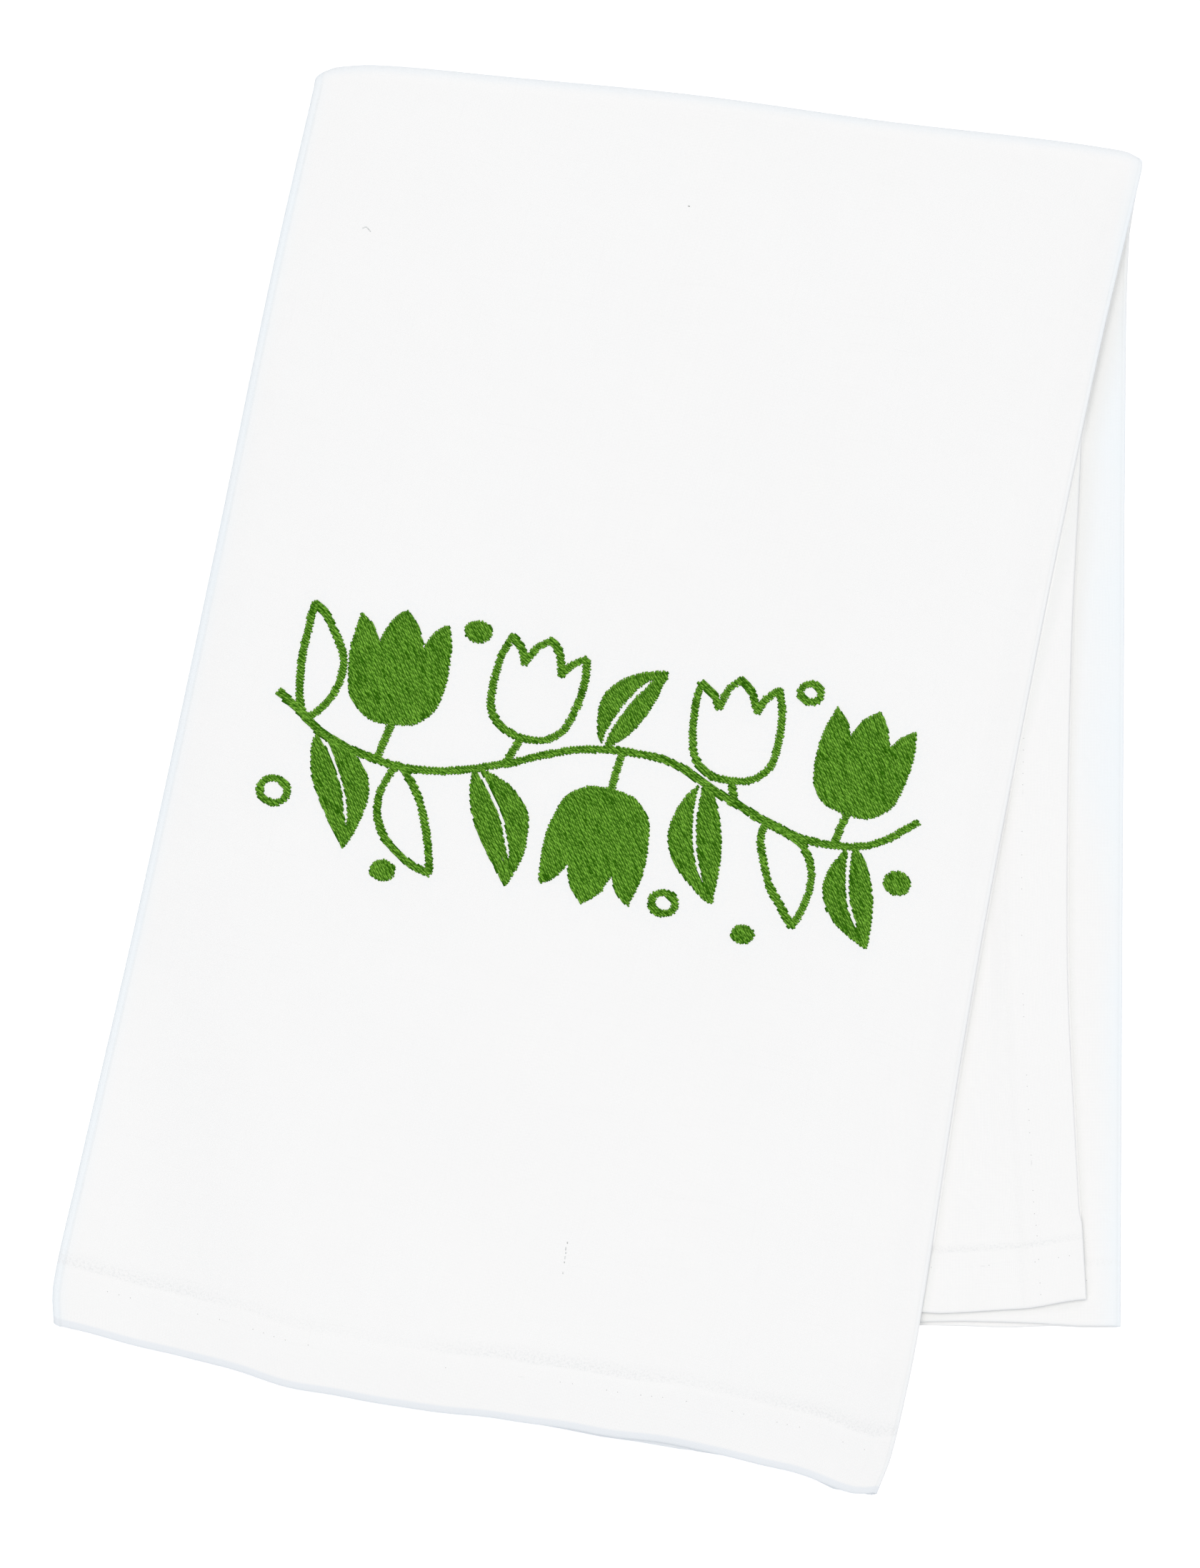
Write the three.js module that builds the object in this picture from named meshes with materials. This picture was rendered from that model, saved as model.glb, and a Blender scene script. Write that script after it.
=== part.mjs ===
import * as THREE from "three";

// A flour sack towel: one hemmed rectangle of cotton, folded in three along its length (a face panel, an
// inner panel turned in over it, and a flap turned over both) and then in half across, lying flat.
// Millimetres, +Z up. +Y runs up the back half to the crosswise fold, and the origin is the middle of
// the footprint, on the surface that the towel lies on.

// The cloth and the stack
const CLOTH = 1.0; // one layer
const GAP = 0.35; // air between the layers of one half
const HALF_GAP = 0.9; // air between the two halves
const HEM = 17; // width of the double-turned hem
const HEM_LIFT = 0.2; // how far the flap's side hem stands up
const HEM_SWELL = 0.12; // share by which a half is thicker at its end hems
const FOLD_SWELL = 0.08; // share by which a half is thicker beside its lengthwise folds
const FOLD_REACH = 9; // how far in from a lengthwise fold that swelling goes
const RAMP = 2; // width of the slope on to a hem

// The folded strip
const STRIP = 235; // its width at the crosswise fold
const FAN = THREE.MathUtils.degToRad(11.7); // turn of the front half against the back half
const FOLD_TILT = THREE.MathUtils.degToRad(6.2); // fall of the crosswise fold to the right
const SIDE_ROLL = 1.6; // lengthwise folds bulge this many times further out than up
const CROSS_ROLL = 1.25; // the same for the crosswise fold
const INNER_INSET = 7; // the inner panel's free edge, from the left fold
const FRONT_LEFT = -118.6; // the front half's edges at the crosswise fold, across that half
const FRONT_RIGHT = 117.3;
const BACK_END = -156.5; // the back half's free end, along Y
const CENTRE = { x: 0.645, y: -0.609 }; // the middle of the footprint in the frame that the tables use

// Past the edges of the back half, the front half runs on level, and then comes down to the surface
const LEVEL_RUN = 6;
const DROP = 26;
const FLAP_SAG = 12; // the same for the step off the flap's free edge

const PITCH = CLOTH + GAP;
const AXIS = 3 * CLOTH + 2 * GAP + HALF_GAP / 2; // height of the crosswise fold's axis
const BACK_TOP = 3 * CLOTH + 2 * GAP;
const FRONT_BASE = BACK_TOP + HALF_GAP;

// Heights of the panels' middles in the back half. The front half holds them in reverse.
const LEVEL = { face: CLOTH / 2, inner: CLOTH / 2 + PITCH, flap: CLOTH / 2 + 2 * PITCH };

// The crosswise fold's outer edge, in the front half's own frame: across it, and up along it.
const CREST = [
  { across: -118.6, up: 181.8 },
  { across: -102, up: 186.4 },
  { across: -63.3, up: 190.9 },
  { across: -10.4, up: 196.6 },
  { across: 43, up: 200.2 },
  { across: 91.8, up: 204.6 },
  { across: 117.3, up: 206 },
];

// How the folded edges wander, by the share of the way from the crosswise fold to the free end. The
// flap's free edge is given by its distance in from the right-hand fold.
const BACK_SIDES = [
  { share: 0, left: -80, right: 155.6, flapInset: 12.5 },
  { share: 0.06, left: -82, right: 152.3, flapInset: 12.5 },
  { share: 0.24, left: -84, right: 151.2, flapInset: 13 },
  { share: 0.42, left: -84.3, right: 150.9, flapInset: 15.6 },
  { share: 0.68, left: -84.6, right: 150.4, flapInset: 16.2 },
  { share: 0.85, left: -84.8, right: 150.1, flapInset: 13.4 },
  { share: 1, left: -85, right: 149.9, flapInset: 10.2 },
];
const FRONT_SIDES = [
  { share: 0, left: -118.6, right: 117.3, flapInset: 12.5 },
  { share: 0.15, left: -119.6, right: 115.9, flapInset: 13 },
  { share: 0.4, left: -119.5, right: 116.1, flapInset: 14 },
  { share: 0.65, left: -120.2, right: 118, flapInset: 14 },
  { share: 0.88, left: -121.9, right: 122.2, flapInset: 14 },
  { share: 0.97, left: -122.3, right: 122, flapInset: 14 },
  { share: 1, left: -119.9, right: 120.2, flapInset: 14 },
];

// How far each panel's free end stops short of the back half's end, from the left fold to the right.
const BACK_ENDS = [
  { t: 0, face: 0, inner: 1.6, flap: 4.2 },
  { t: 0.75, face: 0, inner: 1.6, flap: 4.3 },
  { t: 0.88, face: 0, inner: 1, flap: 5.5 },
  { t: 0.95, face: 0, inner: 0.6, flap: 7.6 },
  { t: 1, face: 0, inner: 0.3, flap: 8 },
];
// The same for the front half, as places along it.
const FRONT_ENDS = [
  { t: 0, face: -183.8, inner: -182.8, flap: -182.5 },
  { t: 0.18, face: -185.5, inner: -184.4, flap: -184 },
  { t: 0.355, face: -187.4, inner: -186.3, flap: -185.8 },
  { t: 0.53, face: -184.4, inner: -183.8, flap: -183.6 },
  { t: 0.7, face: -182.1, inner: -182.9, flap: -182.4 },
  { t: 0.88, face: -182, inner: -181.2, flap: -181 },
  { t: 0.97, face: -184.5, inner: -185.3, flap: -182 },
  { t: 1, face: -183, inner: -183.8, flap: -181 },
];

// How finely the sheet is cut up
const ARC_STEPS = 6;
const COLUMNS = [0.14, 0.2, 0.26, 0.32, 0.38, 0.46, 0.55, 0.64, 0.72, 0.79];
const BACK_SHARES = [0.06, 0.24, 0.48, 0.68, 0.85];
const FRONT_SHARES = [0.05, 0.13, 0.21, 0.29, 0.37, 0.45, 0.53, 0.6, 0.67, 0.73, 0.78, 0.82, 0.86, 0.9];

const { lerp, smoothstep } = THREE.MathUtils;

/** The value of one column of a table at a place between its rows, on a smooth curve. */
function follow(rows, key, column, at) {
  const last = rows.length - 1;
  const x = THREE.MathUtils.clamp(at, rows[0][key], rows[last][key]);
  let i = 0;
  while (i < last - 1 && rows[i + 1][key] < x) i += 1;
  const slope = (j) => {
    const a = rows[Math.max(j - 1, 0)];
    const b = rows[Math.min(j + 1, last)];
    return (b[column] - a[column]) / (b[key] - a[key]);
  };
  const a = rows[i];
  const b = rows[i + 1];
  const step = b[key] - a[key];
  const s = (x - a[key]) / step;
  return (
    a[column] * (1 + 2 * s) * (1 - s) ** 2 +
    b[column] * s * s * (3 - 2 * s) +
    step * s * (1 - s) * (slope(i) * (1 - s) - slope(i + 1) * s)
  );
}

/** A place given across and up the front half, in the towel's own frame. */
function fromFront(across, up) {
  const x = across * Math.cos(FAN) + up * Math.sin(FAN) - CENTRE.x;
  const y = up * Math.cos(FAN) - across * Math.sin(FAN) - CENTRE.y;
  return { x, y };
}

/** The crosswise fold's axis at a share t of the way from the left fold to the right. */
function foldAxis(t) {
  const across = lerp(FRONT_LEFT, FRONT_RIGHT, t);
  const up = follow(CREST, "across", "up", across) - AXIS * CROSS_ROLL;
  return { across, up, ...fromFront(across, up) };
}

/** Swelling of a half beside its lengthwise folds and at its end hems. */
function swell(t, toEnd) {
  const left = Math.exp(-(((t * STRIP) / FOLD_REACH) ** 2));
  const right = Math.exp(-((((1 - t) * STRIP) / FOLD_REACH) ** 2));
  const hem = 1 - smoothstep(toEnd, HEM - RAMP / 2, HEM + RAMP / 2);
  return 1 + FOLD_SWELL * (left + right) + HEM_SWELL * hem;
}

/** Share t of the way across the strip, of a point of the section at a share of the way along a half. */
function across(point, sides, share) {
  const inset = follow(sides, "share", "flapInset", share);
  return point.edge === "flap" ? 1 - (inset - point.mm) / STRIP : point.t + point.mm / STRIP;
}

/** Sideways drift of the strip from its place at the crosswise fold. */
function drift(sides, share, t) {
  const left = follow(sides, "share", "left", share) - sides[0].left;
  const right = follow(sides, "share", "right", share) - sides[0].right;
  return lerp(left, right, t);
}

/** Distance from the crosswise fold's axis to a row: a share of the half's length, or so far from its end. */
function reach(row, length, ownLength) {
  if (row.toEnd === 0) return ownLength;
  return row.toEnd === undefined ? row.share * length : length - row.toEnd;
}

/** A panel's free end, at t; between two panels, around a lengthwise fold, it is blended. */
function endOf(table, point, t) {
  const a = follow(table, "t", point.panel, t);
  const b = follow(table, "t", point.next ?? point.panel, t);
  return lerp(a, b, point.blend ?? 0);
}

function onBack(point, row) {
  const t = across(point, BACK_SIDES, row.share ?? 1);
  const fold = foldAxis(t);
  const length = fold.y + CENTRE.y - BACK_END;
  const away = reach(row, length, length - endOf(BACK_ENDS, point, t));
  const share = away / length;
  const z = point.h * swell(t, length - away);
  return new THREE.Vector3(fold.x + drift(BACK_SIDES, share, t), fold.y - away, z);
}

function onBend(point, row) {
  const t = across(point, BACK_SIDES, 0);
  const fold = foldAxis(t);
  const radius = AXIS - point.h;
  const out = radius * CROSS_ROLL * Math.sin(row.angle);
  const x = fold.x + out * Math.sin(FOLD_TILT);
  const y = fold.y + out * Math.cos(FOLD_TILT);
  const cos = Math.cos(row.angle);
  const own = cos > 0 ? point.h : Math.max(2 * AXIS - point.h - FRONT_BASE, 0);
  return new THREE.Vector3(x, y, AXIS - radius * cos + own * (swell(t, STRIP) - 1) * cos * cos);
}

/** How far the front half has come down off the back half at a place: 0 on it, 1 on the surface. */
function dropped(x, y) {
  const left = follow(BACK_SIDES, "share", "left", 0.5) - CENTRE.x - x;
  const below = BACK_END - CENTRE.y - y;
  const outside = left > 0 && below > 0 ? Math.hypot(left, below) : Math.max(left, below);
  return smoothstep(outside, LEVEL_RUN, LEVEL_RUN + DROP);
}

function onFront(point, row) {
  const t = across(point, FRONT_SIDES, row.share ?? 1);
  const fold = foldAxis(t);
  const length = fold.up - follow(FRONT_ENDS, "t", "face", t);
  const away = reach(row, length, fold.up - endOf(FRONT_ENDS, point, t));
  const share = away / length;
  const { x, y } = fromFront(fold.across + drift(FRONT_SIDES, share, t), fold.up - away);
  const flapEdge = 1 - follow(FRONT_SIDES, "share", "flapInset", share) / STRIP;
  const sag = PITCH * smoothstep((t - flapEdge) * STRIP, 0, FLAP_SAG) * smoothstep(share, 0, 0.05);
  const base = FRONT_BASE * (1 - dropped(x, y));
  const above = Math.max(2 * AXIS - point.h - FRONT_BASE, 0);
  const own = above * swell(t, length - away) - (point.panel === "flap" ? 0 : sag);
  return new THREE.Vector3(x, y, base + own);
}

/** Points on both sides of the cloth around a lengthwise fold, from one panel's level to another's. */
function turn(t, from, to) {
  const out = t === 0 ? -1 : 1;
  const middle = (LEVEL[from] + LEVEL[to]) / 2;
  const radius = Math.abs(LEVEL[from] - LEVEL[to]) / 2;
  const sense = Math.sign(LEVEL[from] - LEVEL[to]);
  const sides = [radius + CLOTH / 2, radius - CLOTH / 2];
  const inset = sides[0] + (SIDE_ROLL - 1) * radius;
  const steps = [];
  for (let i = 1; i < ARC_STEPS; i += 1) {
    const angle = (Math.PI * i) / ARC_STEPS;
    const blend = i / ARC_STEPS;
    const [face, reverse] = sides.map((r) => ({
      t,
      mm: out * ((r + (SIDE_ROLL - 1) * radius) * Math.sin(angle) - inset),
      h: middle + sense * r * Math.cos(angle),
      panel: from,
      next: to,
      blend,
    }));
    steps.push({ face, reverse });
  }
  return steps;
}

/** Points on both sides of a flat panel at one place across it. */
function flat(panel, place, faceUp, lift = 0) {
  const up = { ...place, panel, h: LEVEL[panel] + CLOTH / 2 + lift };
  const down = { ...place, panel, h: LEVEL[panel] - CLOTH / 2 };
  return faceUp ? { face: up, reverse: down } : { face: down, reverse: up };
}

/** The strip's section in the back half, from the inner panel's free edge to the flap's free edge. */
function section() {
  const rightInset = PITCH / 2 + CLOTH / 2 + ((SIDE_ROLL - 1) * PITCH) / 2;
  const leftInset = PITCH + CLOTH / 2 + (SIDE_ROLL - 1) * PITCH;
  const nearLeft = { t: 0, mm: INNER_INSET };
  const left = [nearLeft, { t: 0, mm: 18 }];
  const middle = COLUMNS.map((t) => ({ t, mm: 0 }));
  const hem = [
    { edge: "flap", mm: -HEM - RAMP / 2 },
    { edge: "flap", mm: -HEM + RAMP / 2 },
    { edge: "flap", mm: 0 },
  ];
  const right = [{ edge: "flap", mm: FLAP_SAG / 2 }, { t: 1, mm: -rightInset }];
  const fold = { t: 0, mm: leftInset };
  const lifts = [0, HEM_LIFT, HEM_LIFT];
  return [
    ...[...left, ...middle, ...hem, ...right].map((place) => flat("inner", place, true)),
    ...turn(1, "inner", "face"),
    ...[fold, ...left, ...middle, ...hem, ...right].reverse().map((place) => flat("face", place, false)),
    ...turn(0, "face", "flap"),
    ...[fold, ...left, ...middle].map((place) => flat("flap", place, true)),
    ...hem.map((place, i) => flat("flap", place, true, lifts[i])),
  ];
}

/** The rows of the sheet, from the back half's free end, over the crosswise fold, to the front's. */
function rows() {
  const hem = [{ toEnd: 0 }, { toEnd: HEM - RAMP / 2 }, { toEnd: HEM + RAMP / 2 }];
  const shares = (list) => list.map((share) => ({ share }));
  const back = [...hem, ...shares(BACK_SHARES).reverse(), { share: 0 }];
  const bend = [];
  for (let i = 1; i < ARC_STEPS; i += 1) bend.push({ angle: (Math.PI * i) / ARC_STEPS });
  const front = [{ share: 0 }, ...shares(FRONT_SHARES), ...hem.toReversed()];
  return [
    ...back.map((row) => (point) => onBack(point, row)),
    ...bend.map((row) => (point) => onBend(point, row)),
    ...front.map((row) => (point) => onFront(point, row)),
  ];
}

/** The whole cloth as one closed solid: its outline round both sides, carried along the rows. */
function towelGeometry() {
  const steps = section();
  const outline = [...steps.map((s) => s.face), ...steps.map((s) => s.reverse).reverse()];
  const places = rows();
  const around = outline.length;
  const corners = places.flatMap((place) => outline.map((point) => place(point)));
  const order = outline.map((point) => across(point, FRONT_SIDES, 0.5));
  const faces = [];
  for (let j = 0; j < places.length - 1; j += 1) {
    for (let i = 0; i < around; i += 1) {
      const next = (i + 1) % around;
      const a = j * around + i;
      const b = j * around + next;
      // the diagonal leans the same way in every layer, so that the layers stay parallel
      if (order[i] < order[next]) faces.push(a, b, b + around, a, b + around, a + around);
      else faces.push(a, b, a + around, b, b + around, a + around);
    }
  }
  const end = (places.length - 1) * around;
  for (let i = 0; i < steps.length - 1; i += 1) {
    const k = around - 1 - i;
    faces.push(i, k, i + 1, i + 1, k, k - 1);
    faces.push(end + i, end + i + 1, end + k, end + i + 1, end + k - 1, end + k);
  }
  const geometry = new THREE.BufferGeometry().setFromPoints(corners);
  geometry.setIndex(faces);
  geometry.computeVertexNormals();
  return geometry;
}

const cotton = new THREE.MeshStandardMaterial({ color: 0xf6f6f4, roughness: 0.9, metalness: 0 });
const towel = new THREE.Mesh(towelGeometry(), cotton);
towel.name = "towel";

const model = new THREE.Group();
model.add(towel);

export default model;
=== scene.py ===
"""A flour sack towel, folded in three along its length and then in half across, lying flat."""

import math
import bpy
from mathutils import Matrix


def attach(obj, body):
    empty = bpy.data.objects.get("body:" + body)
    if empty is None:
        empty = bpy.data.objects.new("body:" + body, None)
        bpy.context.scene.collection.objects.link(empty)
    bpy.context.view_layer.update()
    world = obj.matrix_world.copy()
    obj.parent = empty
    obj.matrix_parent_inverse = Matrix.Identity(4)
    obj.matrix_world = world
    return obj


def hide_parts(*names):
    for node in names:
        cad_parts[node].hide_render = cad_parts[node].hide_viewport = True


bl_info = {
    "name": "Flour sack towel",
    "version": (1, 0, 0),
    "blender": (4, 5, 0),
    "location": "View3D > Sidebar > Towel",
    "description": "Builds a folded and embroidered flour sack towel, its hems, threads and studio",
    "category": "Object",
}

import bpy
import numpy as np
from bpy.props import FloatProperty, FloatVectorProperty, IntProperty, PointerProperty
from mathutils.kdtree import KDTree

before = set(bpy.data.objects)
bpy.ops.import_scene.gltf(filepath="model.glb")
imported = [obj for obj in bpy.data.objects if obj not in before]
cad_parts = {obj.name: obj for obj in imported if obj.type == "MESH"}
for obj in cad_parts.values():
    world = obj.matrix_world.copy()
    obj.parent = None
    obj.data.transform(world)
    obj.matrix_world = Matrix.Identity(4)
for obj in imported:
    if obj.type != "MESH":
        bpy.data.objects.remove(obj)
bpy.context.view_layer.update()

# The layout below is worked out in millimetres, like the tables, and turned into metres at the end.
MM = 0.001


def table(columns, *rows):
    """Rows of a table, each with its values under the columns' names."""
    return [dict(zip(columns.split(), row)) for row in rows]


# The middle of the towel's footprint, in the frame that the tables use
CENTRE_X = 0.645
CENTRE_Y = -0.609

# The folded strip: its width at the crosswise fold, that fold's ends across the front half, the fall of
# the fold to the right, and where the back half ends along Y
STRIP = 235.0
FRONT_LEFT = -118.6
FRONT_RIGHT = 117.3
FOLD_TILT = math.radians(6.2)
BACK_END = -156.5
AXIS = 4.15
FRONT_BASE = 4.6

# The cloth's length, and how far it runs from the crosswise fold to each half's end, about
LENGTH = 737.0
BACK_RUN = 344.0
FRONT_RUN = 378.0

# How far in from the left fold the inner panel's free edge lies, and from the right-hand fold the flap's,
# about, and the cloth that goes round each lengthwise fold
INNER_INSET = 7.0
FLAP_INSET = 13.0
ROUND_RIGHT = 2.0
ROUND_LEFT = 6.0

# How far in from every free edge its lock stitch runs
STITCH_LINE = 13.0

# Distances from an edge or a stitch are worked out up to this
FAR = 20.0

# How far from a lengthwise fold its pressing reaches, the share of its height that the front half loses
# there, and the run over which its top sinks past the flap's free edge
PRESS_REACH = 6.5
FOLD_SINK = 0.13
SAG_RUN = 12.0

# Unevenness of layers, ends and stitch rows: the length of its waves, about, and the seed that places them
WAVES = {
    "front half": {"size": 90.0, "seed": 11},
    "front layers": {"size": 45.0, "seed": 12},
    "back layers": {"size": 80.0, "seed": 13},
    "free ends": {"size": 26.0, "seed": 5},
    "stitch rows": {"size": 13.0, "seed": 3},
}

# The crosswise fold's outer edge, in the front half's own frame
CREST = table(
    "across up",
    (-118.6, 181.8),
    (-102.0, 186.4),
    (-63.3, 190.9),
    (-10.4, 196.6),
    (43.0, 200.2),
    (91.8, 204.6),
    (117.3, 206.0),
)

# How the folded edges wander, by the share of the way from the crosswise fold to the free end. The flap's
# free edge is given by its distance in from the right-hand fold.
BACK_SIDES = table(
    "share left right inset",
    (0.0, -80.0, 155.6, 12.5),
    (0.06, -82.0, 152.3, 12.5),
    (0.24, -84.0, 151.2, 13.0),
    (0.42, -84.3, 150.9, 15.6),
    (0.68, -84.6, 150.4, 16.2),
    (0.85, -84.8, 150.1, 13.4),
    (1.0, -85.0, 149.9, 10.2),
)
FRONT_SIDES = table(
    "share left right inset",
    (0.0, -118.6, 117.3, 12.5),
    (0.15, -119.6, 115.9, 13.0),
    (0.4, -119.5, 116.1, 14.0),
    (0.65, -120.2, 118.0, 14.0),
    (0.88, -121.9, 122.2, 14.0),
    (0.97, -122.3, 122.0, 14.0),
    (1.0, -119.9, 120.2, 14.0),
)

# How far each panel's free end stops short of the back half's end, from the left fold to the right
BACK_ENDS = table(
    "t face inner flap",
    (0.0, 0.0, 1.6, 4.2),
    (0.75, 0.0, 1.6, 4.3),
    (0.88, 0.0, 1.0, 5.5),
    (0.95, 0.0, 0.6, 7.6),
    (1.0, 0.0, 0.3, 8.0),
)
# The same for the front half, as places along it
FRONT_ENDS = table(
    "t face inner flap",
    (0.0, -183.8, -182.8, -182.5),
    (0.18, -185.5, -184.4, -184.0),
    (0.355, -187.4, -186.3, -185.8),
    (0.53, -184.4, -183.8, -183.6),
    (0.7, -182.1, -182.9, -182.4),
    (0.88, -182.0, -181.2, -181.0),
    (0.97, -184.5, -185.3, -182.0),
    (1.0, -183.0, -183.8, -181.0),
)

# The order of the panels in the back half, from the surface up. The front half holds them in reverse.
RANK = {"face": 0, "inner": 1, "flap": 2}
TOP_RANK = 2


# Small helpers


def smoothstep(value, low, high):
    """0 below low, 1 above high, and a smooth rise between them."""
    s = np.clip((value - low) / (high - low), 0.0, 1.0)
    return s * s * (3.0 - 2.0 * s)


def mix(a, b, share):
    """The value that lies a share of the way from a to b."""
    return a + (b - a) * share


def follow(rows, key, column, at):
    """The value of one column of a table at places between its rows, on a smooth curve."""
    x = np.array([row[key] for row in rows])
    y = np.array([row[column] for row in rows])
    before = np.maximum(np.arange(len(x)) - 1, 0)
    after = np.minimum(np.arange(len(x)) + 1, len(x) - 1)
    slope = (y[after] - y[before]) / (x[after] - x[before])
    at = np.clip(np.asarray(at, dtype=float), x[0], x[-1])
    i = np.clip(np.searchsorted(x, at) - 1, 0, len(x) - 2)
    step = x[i + 1] - x[i]
    s = (at - x[i]) / step
    return (
        y[i] * (1 + 2 * s) * (1 - s) ** 2
        + y[i + 1] * s * s * (3 - 2 * s)
        + step * s * (1 - s) * (slope[i] * (1 - s) - slope[i + 1] * s)
    )


def soft_waves(x, y, size, seed, count=7):
    """A smooth uneven field between about -1 and 1: a few crossing waves about size long."""
    rng = np.random.default_rng(seed)
    total = np.zeros(np.broadcast(x, y).shape)
    for _ in range(count):
        heading = rng.uniform(0, 2 * math.pi)
        length = size * rng.uniform(0.7, 1.5)
        phase = rng.uniform(0, 2 * math.pi)
        along = x * math.cos(heading) + y * math.sin(heading)
        total += np.sin(2 * math.pi * along / length + phase)
    return total / math.sqrt(count)


def finish_mesh(name, vertices, faces, material, uv=None, **marks):
    """A new object from vertices in millimetres, smooth shaded, at the origin, in metres.

    Each further value is a mark that every vertex carries under its name.
    """
    mesh = bpy.data.meshes.new(name)
    mesh.from_pydata((np.asarray(vertices) * MM).tolist(), [], faces)
    mesh.shade_smooth()
    if uv is not None:
        layer = mesh.uv_layers.new(name="cloth")
        corner = np.empty(len(mesh.loops), dtype=np.int32)
        mesh.loops.foreach_get("vertex_index", corner)
        layer.data.foreach_set("uv", (np.asarray(uv)[corner] * MM).ravel())
    for label, values in marks.items():
        mesh.attributes.new(label, "FLOAT", "POINT").data.foreach_set("value", values)
    mesh.materials.append(material)
    mesh.update()
    piece = bpy.data.objects.new(name, mesh)
    bpy.context.scene.collection.objects.link(piece)
    return piece


# The fold: where each point of the cloth lies


class Fold:
    """The folded strip's layers, worked out from the cloth's sizes."""

    def __init__(self, cloth):
        self.plain = cloth.thickness / MM
        self.hem = cloth.hem_thickness / MM
        self.hem_width = cloth.hem_width / MM
        self.pitch = cloth.layer_pitch / MM
        self.fan = cloth.fan
        self.side_roll = cloth.side_roll
        self.cross_roll = cloth.cross_roll
        self.drop = cloth.drop / MM
        self.press = cloth.fold_press
        self.waves = cloth.unevenness / MM

    def from_front(self, across, up):
        """A place given across and up the front half, in the towel's own frame."""
        x = across * math.cos(self.fan) + up * math.sin(self.fan) - CENTRE_X
        y = up * math.cos(self.fan) - across * math.sin(self.fan) - CENTRE_Y
        return x, y

    def axis_at(self, t):
        """The crosswise fold's axis at a share t of the way from the left fold to the right."""
        across = mix(FRONT_LEFT, FRONT_RIGHT, t)
        up = follow(CREST, "across", "up", across) - AXIS * self.cross_roll
        return across, up

    def near_folds(self, t):
        """1 at the lengthwise folds, falling away over a few millimetres beside them."""
        return sum(np.exp(-((away * STRIP / PRESS_REACH) ** 2)) for away in (t, 1 - t))

    def pressed(self, t):
        """How much thinner a half is where its lengthwise folds press its layers together."""
        return 1 - self.press * self.near_folds(t)

    def dropped(self, x, y):
        """How far the front half has come down off the back half: 0 on it, 1 on the surface."""
        level_run = 6.0
        left = follow(BACK_SIDES, "share", "left", 0.5) - CENTRE_X - x
        below = BACK_END - CENTRE_Y - y
        corner = np.hypot(np.maximum(left, 0), np.maximum(below, 0))
        outside = np.where((left > 0) & (below > 0), corner, np.maximum(left, below))
        return smoothstep(outside, level_run, level_run + self.drop)

    def drift(self, sides, share, t):
        """Sideways drift of the strip from its place at the crosswise fold."""
        left = follow(sides, "share", "left", share) - sides[0]["left"]
        right = follow(sides, "share", "right", share) - sides[0]["right"]
        return mix(left, right, t)

    def sag(self, t, share):
        """How far the front half sinks past the flap's free edge."""
        edge = 1 - follow(FRONT_SIDES, "share", "inset", share) / STRIP
        past = smoothstep((t - edge) * STRIP, 0, SAG_RUN)
        return self.pitch * past * smoothstep(share, 0, 0.05)

    def front_rise(self, x, y, t):
        """Slow waves of the front half, less its sinking beside its lengthwise folds."""
        dropped = self.dropped(x, y)
        waves = self.waves * (1 + soft_waves(x, y, **WAVES["front half"])) * (1 - 0.6 * dropped)
        return np.maximum(waves, 0) - FOLD_SINK * FRONT_BASE * (1 - dropped) * self.near_folds(t)

    def front_height(self, x, y, t, share, above, sags):
        """Height in the front half of what lies above its lowest surface by above."""
        uneven = 0.03 * soft_waves(x, y, **WAVES["front layers"]) * smoothstep(share, 0, 0.04)
        own = above * self.pressed(t) * (1 + uneven)
        z = FRONT_BASE * (1 - self.dropped(x, y)) + self.front_rise(x, y, t) + own
        return z - np.where(sags, self.sag(t, share), 0)

    def front_surface(self, across, up):
        """The top of the face panel at a place across and up the front half."""
        t = (across - FRONT_LEFT) / (FRONT_RIGHT - FRONT_LEFT)
        axis_up = self.axis_at(t)[1]
        length = axis_up - follow(FRONT_ENDS, "t", "face", t)
        share = (axis_up - up) / length
        t = (across - self.drift(FRONT_SIDES, share, t) - FRONT_LEFT) / (FRONT_RIGHT - FRONT_LEFT)
        x, y = self.from_front(across, up)
        above = TOP_RANK * self.pitch + self.plain
        z = self.front_height(x, y, t, share, above, True)
        return np.stack([x, y, z], axis=-1)


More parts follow.
